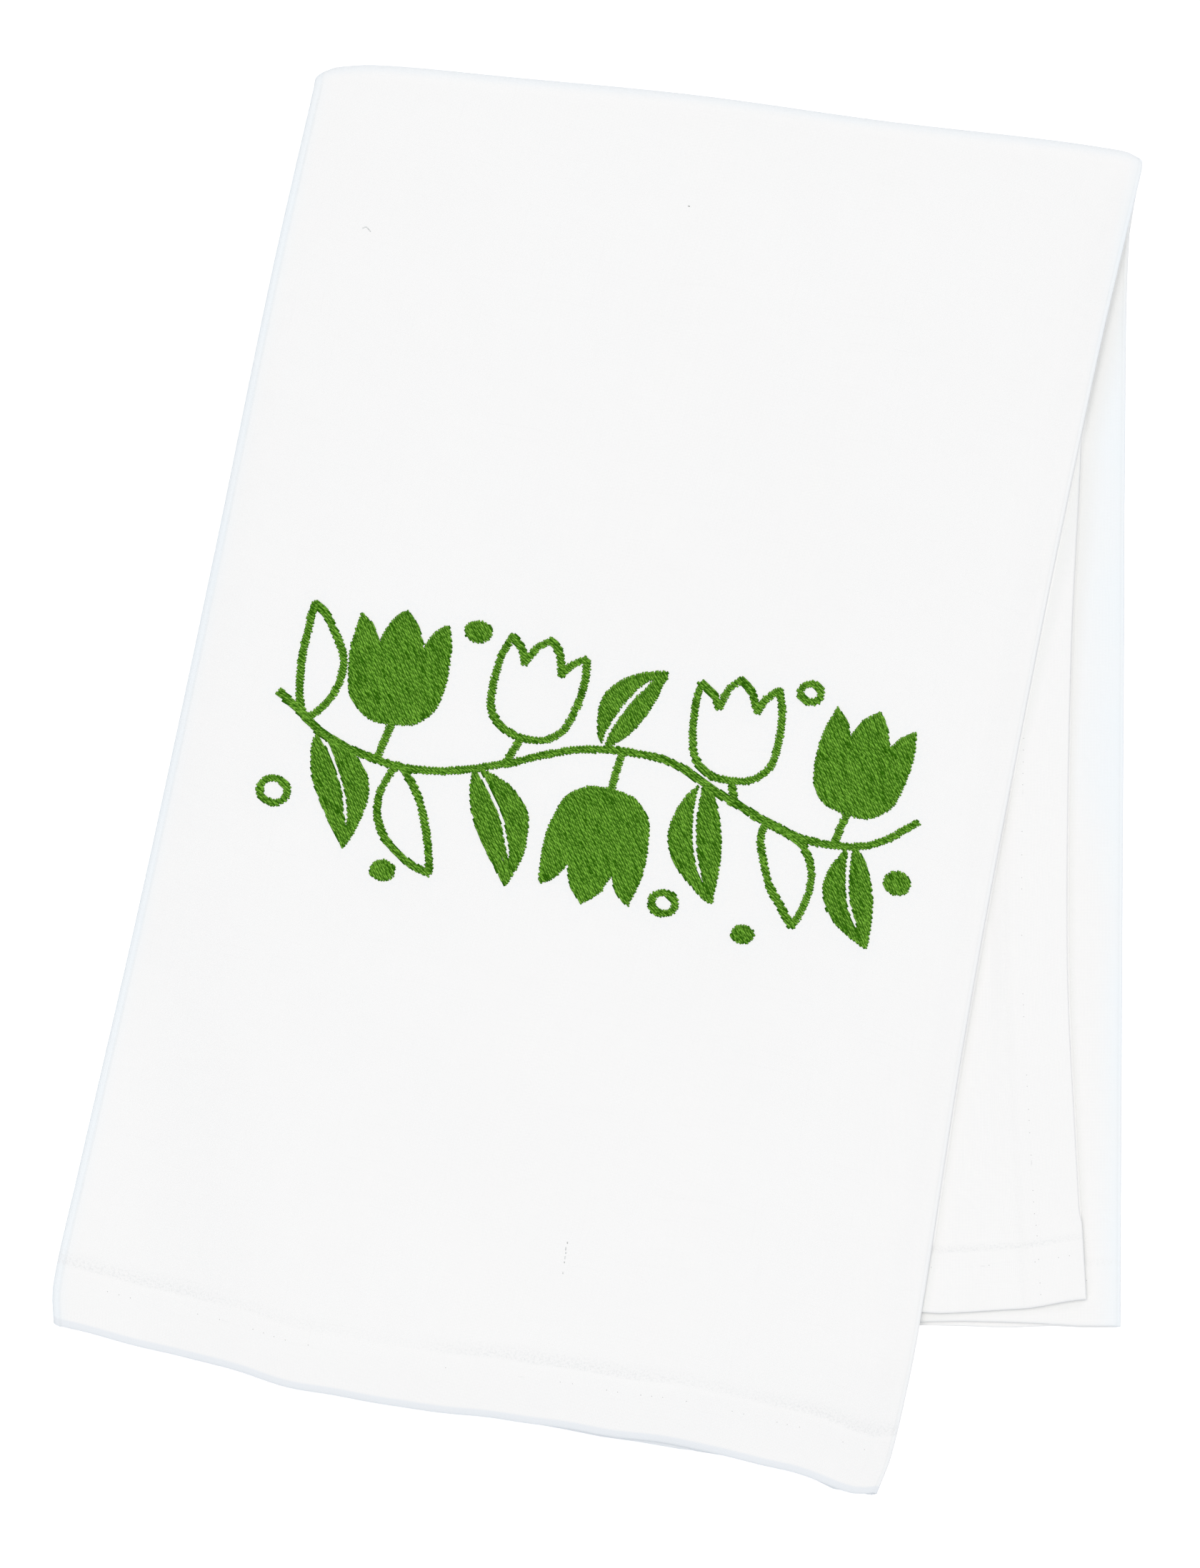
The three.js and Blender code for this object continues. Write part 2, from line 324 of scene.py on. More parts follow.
def section_points(fold):
    """The strip's section as points, from the inner panel's free edge to the flap's.

    Each point lies on a lengthwise fold's arc, or flat beside it. turned is how far round it has gone, from
    0 on the first of its two panels to pi on the second. t and mm place it across the strip, or mm in from
    the flap's free edge on the flap's hem, and free is its distance from a free edge.
    """
    edge = [0.06, 0.2, 0.45, 0.8, 1.4]
    hem = [STITCH_LINE, *(fold.hem_width + step for step in (-1.6, -0.6, 0.6, 1.8))]
    arc_steps = 10
    roll = fold.side_roll
    right_in = fold.pitch * roll / 2 + fold.hem / 2
    left_in = fold.pitch * roll + fold.hem / 2
    points = []

    def add(panels, turned, t=0.0, mm=0.0, free=1e3, flap=False):
        """One more point of the section."""
        points.append({"panels": panels, "turned": turned, "t": t, "mm": mm, "free": free, "flap": flap})

    def spread(first, last, gap):
        """Places from first to last, about gap apart."""
        count = max(2, round((last - first) / gap))
        return np.linspace(first, last, count + 1)

    # the inner panel, from its free edge to the right-hand fold
    for d in [0.0, *edge, 6.0, *hem]:
        add(("inner", "face"), 0.0, mm=INNER_INSET + d, free=d)
    for mm in spread(INNER_INSET + fold.hem_width + 10, STRIP - right_in, 11.0):
        add(("inner", "face"), 0.0, mm=mm, free=mm - INNER_INSET)
    for i in range(1, arc_steps):
        add(("inner", "face"), math.pi * i / arc_steps, t=1.0)
    # the face panel, from right to left
    for mm in spread(left_in, STRIP - right_in, 2.7)[::-1]:
        add(("inner", "face"), math.pi, mm=mm)
    for i in range(1, arc_steps):
        add(("face", "flap"), math.pi * i / arc_steps, t=0.0)
    # the flap, from the left-hand fold to its free edge
    flap_end = STRIP - FLAP_INSET
    for mm in spread(left_in, flap_end - fold.hem_width - 8, 7.0):
        add(("face", "flap"), math.pi, mm=mm, free=flap_end - mm)
    for d in [*hem[::-1], 9.0, 5.0, 2.6, *edge[::-1], 0.0]:
        add(("face", "flap"), math.pi, mm=-d, free=d, flap=True)
    return points


def flat_places(points, fold):
    """Distance of each section point across the flat cloth, from the inner panel's free edge."""
    places = []
    inner = STRIP - INNER_INSET
    for point in points:
        first, turned = point["panels"][0], point["turned"]
        if first == "inner" and turned == 0.0:
            places.append(point["free"])
        elif first == "inner" and turned < math.pi:
            places.append(inner + turned * fold.pitch / 2)
        elif first == "inner":
            places.append(inner + STRIP + ROUND_RIGHT - point["mm"])
        elif turned < math.pi:
            places.append(inner + STRIP + ROUND_RIGHT + turned * fold.pitch)
        else:
            places.append(inner + 2 * STRIP - FLAP_INSET + ROUND_LEFT - point["free"])
    return np.array(places)


class Cloth:
    """The grid of the towel's two surfaces: rows along it, and section points across."""

    END_ROWS = [0.0, 0.06, 0.2, 0.45, 0.8, 1.4, 3.0, 6.0, 9.5, STITCH_LINE, 15.4, 16.4, 17.6, 18.8, 22.0]
    # rows that share out the rest of each half: how far towards its end they reach, and their gap
    BACK_SHARE = 0.9
    BACK_GAP = 9.0
    FRONT_SHARE = 0.91
    FRONT_GAP = 3.0
    # steps round the crosswise fold, and the cloth that each takes
    BEND_STEPS = 16
    BEND_STEP = AXIS * math.pi / BEND_STEPS

    def __init__(self, fold):
        self.fold = fold
        self.points = section_points(fold)
        self.flat = flat_places(self.points, fold)
        self.turned, self.t0, self.mm, self.free, self.on_flap = (
            np.array([point[key] for point in self.points]) for key in ("turned", "t", "mm", "free", "flap")
        )
        ranks = np.array([[RANK[name] for name in point["panels"]] for point in self.points])
        self.rank_a, self.rank_b = ranks.T
        self.width = float(self.flat[-1])
        self.face, self.reverse, self.along = self.lay()

    def ends(self, table, t):
        """Each point's own free end, between its two panels' ends."""
        ends = {name: follow(table, "t", name, t) for name in RANK}
        a = np.choose(self.rank_a, [ends["face"], ends["inner"], ends["flap"]])
        b = np.choose(self.rank_b, [ends["face"], ends["inner"], ends["flap"]])
        ragged = 0.3 * soft_waves(self.flat, 40.0 * (self.rank_a + self.rank_b), **WAVES["free ends"])
        return mix(a, b, self.turned / math.pi) + ragged

    def across(self, sides, share, thickness, side):
        """Share of the way across the strip, with the bulge of the lengthwise folds."""
        inset = follow(sides, "share", "inset", share)
        on_flap = 1 - (inset - self.mm) / STRIP
        span = np.abs(self.rank_a - self.rank_b) / 2 * self.fold.pitch * self.fold.side_roll
        out = (span + side * thickness / 2) * np.sin(self.turned) - span - self.fold.hem / 2
        arc = (self.turned > 0) & (self.turned < math.pi)
        toward = np.where(self.t0 > 0.5, 1.0, -1.0)
        plain = np.where(arc, self.t0 + toward * out / STRIP, self.t0 + self.mm / STRIP)
        return np.where(self.on_flap, on_flap, plain)

    def thickness(self, to_end, front=False):
        """Thickness of the cloth, thicker in its hems, and how far its free edges round it off."""
        fold = self.fold
        end_hem = 1 - smoothstep(to_end, fold.hem_width - 1.2, fold.hem_width + 1.4)
        side_hem = 1 - smoothstep(self.free, fold.hem_width - 1.2, fold.hem_width + 1.4)
        extra = fold.hem - fold.plain
        thick = fold.plain + extra * np.maximum(end_hem, side_hem) + 0.25 * end_hem * side_hem
        near = np.minimum(to_end / (1.6 if front else 0.8), self.free / 0.7) / thick
        near = np.clip(near, 0.0, 1.0)
        return thick, np.maximum(np.sqrt(1 - (1 - near) ** 2), 0.1)

    def heights(self, thick, rounding, side, front):
        """Heights in one half's own stack, from its lowest surface."""
        a = TOP_RANK - self.rank_a if front else self.rank_a
        b = TOP_RANK - self.rank_b if front else self.rank_b
        cos = np.cos(self.turned)
        middle = self.fold.pitch * ((a + b) / 2 + (a - b) / 2 * cos) + thick / 2
        return middle + side * thick * rounding / 2 * np.sign(a - b) * cos

    def sags(self):
        """Which points sink past the flap's free edge: all but the flap's own."""
        return ~((self.rank_b == RANK["flap"]) & (self.turned > 0))

    def row_on_half(self, front, share, to_end, side):
        """One row of points on a half: a share of the way to its end, or so far from its own free end."""
        fold = self.fold
        sides = FRONT_SIDES if front else BACK_SIDES
        nominal = 1 - to_end / (FRONT_RUN if front else BACK_RUN) if share is None else share
        t = self.across(sides, nominal, fold.plain, side)
        axis_across, axis_up = fold.axis_at(t)
        axis_x, axis_y = fold.from_front(axis_across, axis_up)
        if front:
            length = axis_up - follow(FRONT_ENDS, "t", "face", t)
            own = axis_up - self.ends(FRONT_ENDS, t)
        else:
            length = axis_y + CENTRE_Y - BACK_END
            own = length - self.ends(BACK_ENDS, t)
        away = own - to_end if share is None else share * length
        left_over = own - away
        thick, rounding = self.thickness(left_over, front)
        t = self.across(sides, nominal, thick, side)
        height = self.heights(thick, rounding, side, front)
        drift = fold.drift(sides, away / length, t)
        if front:
            x, y = fold.from_front(axis_across + drift, axis_up - away)
            z = fold.front_height(x, y, t, away / length, height, self.sags())
        else:
            x, y = axis_x + drift, axis_y - away
            uneven = 0.04 * (soft_waves(x, y, **WAVES["back layers"]) * smoothstep(away / length, 0, 0.04))
            z = height * fold.pressed(t) * (1 + uneven)
        z = np.maximum(z, 0.0)
        return np.stack([x, y, z], axis=-1), left_over

    def row_on_bend(self, angle, side):
        """One row of points round the crosswise fold."""
        fold = self.fold
        far = np.full(len(self.points), 1e3)
        thick, rounding = self.thickness(far)
        t = self.across(BACK_SIDES, 0.0, thick, side)
        axis_across, axis_up = fold.axis_at(t)
        axis_x, axis_y = fold.from_front(axis_across, axis_up)
        back = self.heights(thick, rounding, side, False)
        front = self.heights(thick, rounding, side, True)
        turn = angle / math.pi
        radius = mix(AXIS - back, FRONT_BASE + front - AXIS, turn)
        from_side = np.minimum(t, 1 - t) * STRIP
        roll = mix(0.8, fold.cross_roll, smoothstep(from_side, -1.0, 6.0))
        out = radius * roll * math.sin(angle)
        thinner = fold.pressed(t) - 1
        own = back if turn < 0.5 else front
        z = AXIS - radius * math.cos(angle) + own * thinner * math.cos(angle) ** 2
        x = axis_x + out * math.sin(FOLD_TILT)
        y = axis_y + out * math.cos(FOLD_TILT)
        z = z + fold.front_rise(x, y, t) * smoothstep(turn, 0.0, 1.0)
        return np.stack([x, y, z], axis=-1)

    def lay(self):
        """Both surfaces' points, row by row, and each row's place along the flat cloth."""
        back_shares = np.linspace(0, self.BACK_SHARE, self.back_rows())
        front_rows = round(self.FRONT_SHARE * FRONT_RUN / self.FRONT_GAP) + 1
        front_shares = np.linspace(0, self.FRONT_SHARE, front_rows)
        ends = [(None, to_end) for to_end in self.END_ROWS]
        back = ends + [(share, None) for share in back_shares[::-1]]
        front = [(share, None) for share in front_shares] + ends[::-1]
        surfaces = []
        for side in (1, -1):
            rows, places = [], []
            for share, to_end in back:
                row, left = self.row_on_half(False, share, to_end, side)
                rows.append(row)
                places.append(left)
            for step in range(1, self.BEND_STEPS):
                rows.append(self.row_on_bend(math.pi * step / self.BEND_STEPS, side))
                places.append(places[-1] + self.BEND_STEP)
            for share, to_end in front:
                row, left = self.row_on_half(True, share, to_end, side)
                rows.append(row)
                places.append(LENGTH - left)
            surfaces.append(np.array(rows))
        along = np.array(places)
        # the back half's places are stretched a little, so that they run on into the front half's
        first = self.front_row()
        behind = along[first - 1]
        missing = along[first] - behind - self.BEND_STEP
        along[:first] += missing * smoothstep(along[:first], 40.0, behind)
        return *surfaces, along

    def back_rows(self):
        """How many rows share out the back half up to its end rows."""
        return round(self.BACK_SHARE * BACK_RUN / self.BACK_GAP) + 1

    def bend_row(self):
        """The row on the crosswise fold's outermost line."""
        return len(self.END_ROWS) + self.back_rows() - 1 + self.BEND_STEPS // 2

    def front_row(self):
        """The front half's first row, straight after the bend's."""
        return self.bend_row() + self.BEND_STEPS // 2

    def from_folds(self):
        """Distance of each grid point from the nearest fold whose roundness gets painted shade, over the
        cloth.
        """
        in_arc = (self.turned > 0) & (self.turned < math.pi)
        arcs = [self.flat[in_arc & (self.t0 == t)] for t in (1.0, 0.0)]
        right, left = (np.min(np.abs(self.flat[:, None] - arc), axis=1) for arc in arcs)
        # on the inner panel the painted shade of the right-hand fold reaches further in, and more so higher
        # up
        on_inner = np.where(self.flat < STRIP - INNER_INSET, 1.0, 0.0)
        right = right * (1 - on_inner * (0.4 + 0.35 * smoothstep(self.along, 110.0, 165.0)))
        bend = self.bend_row()
        # on the front half the right-hand fold's painted shade is kept 4 mm further off
        on_front = smoothstep(np.arange(len(self.along)), bend + 4.0, bend + 40.0)[:, None]
        along = np.maximum(np.abs(self.along - self.along[bend]) - 0.5 * AXIS * math.pi / 2, 0.0)
        across = np.minimum(left, right + 4.0 * on_front)
        return np.minimum(across, 2.6 + 1.5 * along)

    def beside_edges(self):
        """Distance of each point of the back half from the nearest edge that lies over it, up to FAR, for
        painted shadow and painted light.

        These edges are the front half's right-hand fold, and the flap's free edge and end.
        """
        fold = self.fold
        x, y = self.face[..., 0] + CENTRE_X, self.face[..., 1] + CENTRE_Y
        across = x * math.cos(fold.fan) - y * math.sin(fold.fan)
        up = x * math.sin(fold.fan) + y * math.cos(fold.fan)
        front = slice(self.front_row(), None)
        edge = np.argmax((self.t0 == 1.0) & (self.turned >= math.pi / 2))
        beside_front = across - np.interp(up, up[front, edge][::-1], across[front, edge][::-1])
        t = (x - BACK_SIDES[-1]["left"]) / STRIP
        flap_end = follow(BACK_ENDS, "t", "flap", t) - follow(BACK_ENDS, "t", "inner", t)
        beside_flap = np.maximum(x - x[:, -1:], flap_end - self.along)
        on_inner = (self.rank_a == RANK["inner"]) & (self.turned < math.pi / 2)
        beside = np.minimum(beside_front, np.where(on_inner, beside_flap, FAR))
        on_back = (np.arange(len(x)) < self.bend_row() - self.BEND_STEPS // 2)[:, None]
        return np.where(on_back, np.clip(beside, -FAR, FAR), FAR)

    def mesh(self):
        """Vertices, faces and flat places of the closed cloth, and its marks beside folds and edges."""
        outline = np.concatenate([self.face, self.reverse[:, ::-1]], axis=1)
        rows, around = outline.shape[:2]
        vertices = outline.reshape(-1, 3)
        flat = np.concatenate([self.flat, self.flat[::-1]])
        along = np.concatenate([self.along, self.along[:, ::-1]], axis=1)
        uv = np.stack([np.broadcast_to(flat, along.shape), along], axis=-1).reshape(-1, 2)
        folds, beside = (
            np.concatenate([mark, mark[:, ::-1]], axis=1).ravel()
            for mark in (self.from_folds(), self.beside_edges())
        )
        j, i = np.meshgrid(np.arange(rows - 1), np.arange(around), indexing="ij")
        a = j * around + i
        b = j * around + (i + 1) % around
        quads = np.stack([a, b, b + around, a + around], axis=-1).reshape(-1, 4)
        steps = len(self.points)
        i = np.arange(steps - 1)
        k = around - 1 - i
        end = (rows - 1) * around
        near = np.stack([i, k, k - 1, i + 1], axis=-1)
        far = np.stack([i, i + 1, k - 1, k], axis=-1) + end
        return vertices, np.concatenate([quads, near, far]).tolist(), uv, folds, beside


# Materials


FLOAT = "NodeSocketFloat"
WHOLE = "NodeSocketInt"
VECTOR = "NodeSocketVector"
GEOMETRY = "NodeSocketGeometry"
MATERIAL = "NodeSocketMaterial"


def arithmetic(operation, reverse=False):
    """A method that joins a Value, and what stands on its other side, in one Math node."""

    def method(self, *others):
        values = (*others, self) if reverse else (self, *others)
        return self.wiring.math(operation, *values)

    return method


class Value:
    """An output of a node. Arithmetic on it makes further nodes."""

    def __init__(self, wiring, socket):
        self.wiring = wiring
        self.socket = socket

    __add__ = arithmetic("ADD")
    __sub__ = arithmetic("SUBTRACT")
    __mul__ = arithmetic("MULTIPLY")
    __truediv__ = arithmetic("DIVIDE")
    __pow__ = arithmetic("POWER")
    __abs__ = arithmetic("ABSOLUTE")
    __rsub__ = arithmetic("SUBTRACT", reverse=True)
    __rtruediv__ = arithmetic("DIVIDE", reverse=True)


class Wiring:
    """Short forms for adding and joining nodes in one tree. They take Values or plain ones."""

    def __init__(self, tree):
        self.tree = tree

    def node(self, kind, **settings):
        """A new node with its settings."""
        made = self.tree.nodes.new(kind)
        for name, value in settings.items():
            setattr(made, name, value)
        return made

    def fill(self, node, inputs):
        """Links or sets a node's sockets, each given by its name or number."""
        for key, value in inputs.items():
            if isinstance(value, Value):
                self.tree.links.new(value.socket, node.inputs[key])
            else:
                node.inputs[key].default_value = value

    def get(self, kind, inputs=None, output=0, **settings):
        """One output of a new node whose sockets are filled."""
        made = self.node(kind, **settings)
        self.fill(made, inputs or {})
        return Value(self, made.outputs[output])

    def math(self, operation, *values):
        """The result of a Math node."""
        return self.get("ShaderNodeMath", dict(enumerate(values)), operation=operation)

    def scaled(self, vector, scale):
        """A vector times a number, or times another vector axis by axis."""
        operation, key = ("MULTIPLY", 1) if isinstance(scale, tuple) else ("SCALE", "Scale")
        return self.get("ShaderNodeVectorMath", {0: vector, key: scale}, operation=operation)

    def axes(self, vector):
        """A vector's three numbers."""
        made = self.node("ShaderNodeSeparateXYZ")
        self.fill(made, {0: vector})
        return [Value(self, socket) for socket in made.outputs]

    def noise(self, vector, scale, detail=2.0, roughness=0.5):
        """Soft noise between 0 and 1."""
        inputs = {"Vector": vector, "Scale": scale, "Detail": detail, "Roughness": roughness}
        return self.get("ShaderNodeTexNoise", inputs, "Fac")

    def rise(self, value, low, high):
        """0 below low, 1 above high, and a smooth rise between them."""
        inputs = {"Value": value, "From Min": low, "From Max": high}
        return self.get("ShaderNodeMapRange", inputs, "Result", interpolation_type="SMOOTHSTEP")

    def fall(self, value, low, high):
        """1 below low, 0 above high, and a smooth fall between them."""
        return 1.0 - self.rise(value, low, high)

    def attribute(self, name):
        """A number that the vertices carry."""
        return self.get("ShaderNodeAttribute", output="Fac", attribute_name=name)

    def mix_colour(self, share, a, b):
        """The colour that lies a share of the way from a to b. A Mix node's colours are sockets 6 and 7."""
        return self.get("ShaderNodeMix", {"Factor": share, 6: a, 7: b}, 2, data_type="RGBA")

    def bump(self, height, strength):
        """A normal with relief from a height in metres."""
        return self.get("ShaderNodeBump", {"Height": height, "Strength": strength, "Distance": 1.0})

    def group(self, make, inputs):
        """A node group's outputs by their names. Its tree is made once and then used again."""
        made = self.node("ShaderNodeGroup", node_tree=shared(make))
        self.fill(made, inputs)
        return {socket.name: Value(self, socket) for socket in made.outputs}

    def step(self, kind, before, inputs=None, **settings):
        """The geometry after one more node, whose first socket takes the geometry before it."""
        return self.get(kind, {0: before, **(inputs or {})}, **settings)

    def mark(self, before, name, value):
        """The geometry with a number stored on its points."""
        inputs = {"Name": name, "Value": value}
        settings = {"data_type": "FLOAT", "domain": "POINT"}
        return self.step("GeometryNodeStoreNamedAttribute", before, inputs, **settings)

    def finish(self, outputs, socket_type=FLOAT):
        """Gives a node group its outputs, and returns its tree."""
        for name in outputs:
            self.tree.interface.new_socket(name=name, in_out="OUTPUT", socket_type=socket_type)
        self.fill(self.node("NodeGroupOutput"), outputs)
        return self.tree


def shared(make):
    """The node tree that a function makes, made when it is first asked for."""
    name = make.__name__.replace("_", " ")
    return bpy.data.node_groups.get(name) or make(name)


def new_tree(name, kind, inputs):
    """Wiring in a new node group, and its inputs. Each gives its default, or its kind where it has none."""
    tree = bpy.data.node_groups.new(name, kind)
    for label, given in inputs.items():
        socket_type = {float: FLOAT, int: WHOLE}.get(type(given), given)
        socket = tree.interface.new_socket(name=label, in_out="INPUT", socket_type=socket_type)
        if socket_type != given:
            socket.default_value = given
    w = Wiring(tree)
    return w, {socket.name: Value(w, socket) for socket in w.node("NodeGroupInput").outputs}


def new_material(name):
    """A material with its nodes cleared to a Principled BSDF and an output, and its wiring."""
    material = bpy.data.materials.new(name)
    material.use_nodes = True
    nodes = material.node_tree.nodes
    nodes.clear()
    output = nodes.new("ShaderNodeOutputMaterial")
    shader = nodes.new("ShaderNodeBsdfPrincipled")
    material.node_tree.links.new(shader.outputs["BSDF"], output.inputs["Surface"])
    return material, shader, Wiring(material.node_tree)


def shaded(colour, shade=1.0):
    """A colour with its alpha, darkened or tinted."""
    return (*(np.array(colour) * shade).tolist(), 1.0)


def plain_weave(name):
    """Yarns going over and under each other: a height, and a tone that is lower between them, painted shade
    in the weave's grooves.
    """
    w, given = new_tree(name, "ShaderNodeTree", {"Place": VECTOR, "Yarn spacing": 0.0004, "Slubs": 0.5})
    place = given["Place"]
    wander = w.noise(place, 60.0) * 0.0012 - 0.0006
    turns = w.math("DIVIDE", math.pi, given["Yarn spacing"])
    warp_wave, weft_wave = (w.math("SINE", (at + wander) * turns) for at in w.axes(place)[:2])
    warp_yarn, weft_yarn = abs(warp_wave), abs(weft_wave)
    warp_over = warp_yarn * w.math("SQRT", weft_yarn)
    weft_over = weft_yarn * w.math("SQRT", warp_yarn)
    which = w.math("GREATER_THAN", warp_wave * weft_wave, 0.0)
    height = warp_over * which + weft_over - weft_over * which
    slubs = (w.noise(w.scaled(place, run), 1.0, 1.0) for run in ((2200.0, 26.0, 1.0), (22.0, 2400.0, 1.0)))
    slub = w.math("MAXIMUM", (w.math("MAXIMUM", *slubs) - 0.62) * 6.0, 0.0) * given["Slubs"]
    # the tone's fall between the yarns is painted shade
    return w.finish({"Height": height + slub, "Tone": height * 0.5 + (slub * -0.2 + 0.5)})


def uneven_finish(name):
    """Slow and quick unevenness of a finish, between 0 and 1."""
    w, given = new_tree(name, "ShaderNodeTree", {"Place": VECTOR, "Slow scale": 18.0, "Quick scale": 240.0})
    slow = w.noise(given["Place"], given["Slow scale"])
    quick = w.noise(given["Place"], given["Quick scale"], 3.0, 0.6)
    return w.finish({"Unevenness": slow * 0.6 + quick * 0.4})


def thread_twist(name):
    """The two plies of a thread, from its own length and girth: a height, low in their grooves."""
    w, given = new_tree(name, "ShaderNodeTree", {"Length": 0.0, "Girth": 0.0, "Turn": 0.003})
    spiral = (given["Length"] / given["Turn"] + given["Girth"]) * (2 * math.pi)
    return w.finish({"Height": abs(w.math("SINE", spiral)) ** 1.5})


def unevenness(w, place, slow, quick):
    """The unevenness of a finish, from the scales of its slow and quick parts."""
    return w.group(uneven_finish, {"Place": place, "Slow scale": slow, "Quick scale": quick})["Unevenness"]


def hem_marks(name):
    """Painted shade where the cloth's front end is rounded off, and the puckering just inside its hems, for
    bumps and painted shade.
    """
    inputs = {"Place": VECTOR, "Width": 0.69, "Length": 0.737, "Hem": 0.017}
    w, given = new_tree(name, "ShaderNodeTree", inputs)
    place, hem = given["Place"], given["Hem"]
    across, along = w.axes(place)[:2]
    to_front_end = given["Length"] - along
    reach = w.rise(to_front_end, 0.04, 0.05) * -0.0028 + 0.006
    bands = []
    for at, size, strength in ((across, given["Width"], 0.25), (along, given["Length"], 1.0)):
        edge = w.math("MINIMUM", at, size - at)
        band = w.rise(edge, hem - 0.0004, hem + 0.0008) - w.rise(edge, hem + 0.0008, hem + reach)
        bands.append(band * strength)
    patches = w.rise(w.noise(place, 13.0, 1.0), 0.36, 0.6) * 0.7 + 0.3
    specks = w.rise(w.noise(place, 1500.0, 2.0, 0.6), 0.45, 0.66) * 0.85 + 0.15
    # the pucker mask, later a bump and painted shade, lies in bands just inside the hems
    pucker_shade_and_relief = w.math("MAXIMUM", *bands) * patches * specks
    # the rim mask is painted shade on the front end's rounded edge
    return w.finish({"Painted rim shade": w.fall(to_front_end, 0.0016, 0.0025), "Pucker shade and relief": pucker_shade_and_relief})


def cotton_material(settings, width):
    """Bleached cotton: plain weave and slubs, with painted shade at folds and rims, painted shadow and
    painted light beside edges that lie over it, and puckers at hems and stitches, bumped and with painted
    shade.
    """
    material, shader, w = new_material("bleached cotton")
    hem = settings.hem_width
    place = w.get("ShaderNodeUVMap", uv_map="cloth")
    along = w.axes(place)[1]
    weave = w.group(plain_weave, {"Place": place, "Yarn spacing": settings.yarn_spacing, "Slubs": 0.5})
    uneven = unevenness(w, place, 14.0, 160.0)
    hems = w.group(hem_marks, {"Place": place, "Width": width, "Length": LENGTH * MM, "Hem": hem})
    # painted bluish shade along the folds' rounded edges
    painted_fold_shade = w.fall(w.attribute("from_fold"), 0.0, 0.007) ** 1.6 * (w.noise(place, 30.0) * 1.2 + 0.3)
    # painted shadow: beside an edge that lies over it, the cloth's colour is darkened, most near the
    # crosswise fold, and right at the edge painted light brightens it, as if light came through the cloth
    beside = w.attribute("beside_edges")
    shadow = w.fall(beside, 0.0003, w.rise(along, 0.14, 0.29) * 0.006 + 0.003)
    # painted light right at the overlying edges
    painted_edge_light = w.fall(abs(beside), 0.0003, 0.0007) * w.rise(along, hem, hem + 0.004)
    painted_edge_light = painted_edge_light * (w.rise(along, 0.13, 0.21) * -0.5 + 1.0)
    # around the embroidery: puckers, as a bump and as painted shade in specks
    stitch_puckers_and_shade = w.fall(w.attribute("from_stitches"), 0.0005, 0.006)
    specks = w.rise(w.noise(place, 900.0, 3.0, 0.65), 0.42, 0.66)
    # the weave's tone brings painted shade between the yarns, mixed with random unevenness
    tone = weave["Tone"] * 0.5 + uneven * 0.5
    colour = w.mix_colour(tone, shaded(settings.colour, 0.955), shaded(settings.colour, 1.012))
    # each mark below tints the cotton: painted shade at folds, painted shadow and painted light beside
    # overlying edges, painted shade on the front end's rim, and painted shade of puckers at hems and around
    # the embroidery
    shades = [
        (painted_fold_shade, (0.952, 0.995, 1.027)),
        (shadow, (0.93, 0.941, 0.938)),
        (painted_edge_light, (1.16, 1.16, 1.16)),
        (hems["Painted rim shade"], (0.89, 0.92, 0.957)),
        (hems["Pucker shade and relief"], (0.9, 0.908, 0.915)),
        (stitch_puckers_and_shade * specks, (0.962, 0.974, 0.986)),
    ]
    for share, shade in shades:
        colour = w.mix_colour(share, colour, shaded(settings.colour, shade))
    relief = w.noise(place, 75.0) * 0.00035 + weave["Height"] * 0.00005
    relief = w.noise(place, 420.0) * stitch_puckers_and_shade * 0.0002 + relief
    relief = hems["Pucker shade and relief"] * -0.00006 + relief
    inputs = {
        "Base Color": colour,
        "Roughness": uneven * 0.1 + 0.84,
        "Normal": w.bump(relief, 0.6),
        "Sheen Weight": 0.12,
        "Sheen Roughness": 0.6,
        "Specular IOR Level": 0.25,
    }
    w.fill(shader, inputs)
    return material


def thread_material(name, light, dark, turn):
    """Thread laid in stitches: painted shade low down and where it dips, painted highlight on its crest,
    with its plies showing as bumps and as painted shade in their grooves.
    """
    material, shader, w = new_material(name)
    length, girth = w.attribute("thread_length"), w.attribute("thread_girth")
    plies = w.group(thread_twist, {"Length": length, "Girth": girth, "Turn": turn})["Height"]
    uneven = unevenness(w, w.get("ShaderNodeTexCoord", output="Object"), 120.0, 1500.0)
    # painted shade where the thread dips and painted highlight on its crest, with each stitch's own tone
    tone = w.attribute("thread_crest") * 0.35 + w.attribute("thread_tone") - 0.6
    # the plies add painted shade in their grooves, besides their bump
    tone = plies * 0.8 + (uneven * 0.3 + tone)
    inputs = {
        "Base Color": w.mix_colour(tone, shaded(dark), shaded(light)),
        "Roughness": uneven * 0.2 + 0.35,
        "Normal": w.bump(plies * (turn * 0.02), 0.5),
        "Specular IOR Level": 0.03,
    }
    w.fill(shader, inputs)
    return material


# Threads: a plan of needle holes, turned into thread by Geometry Nodes


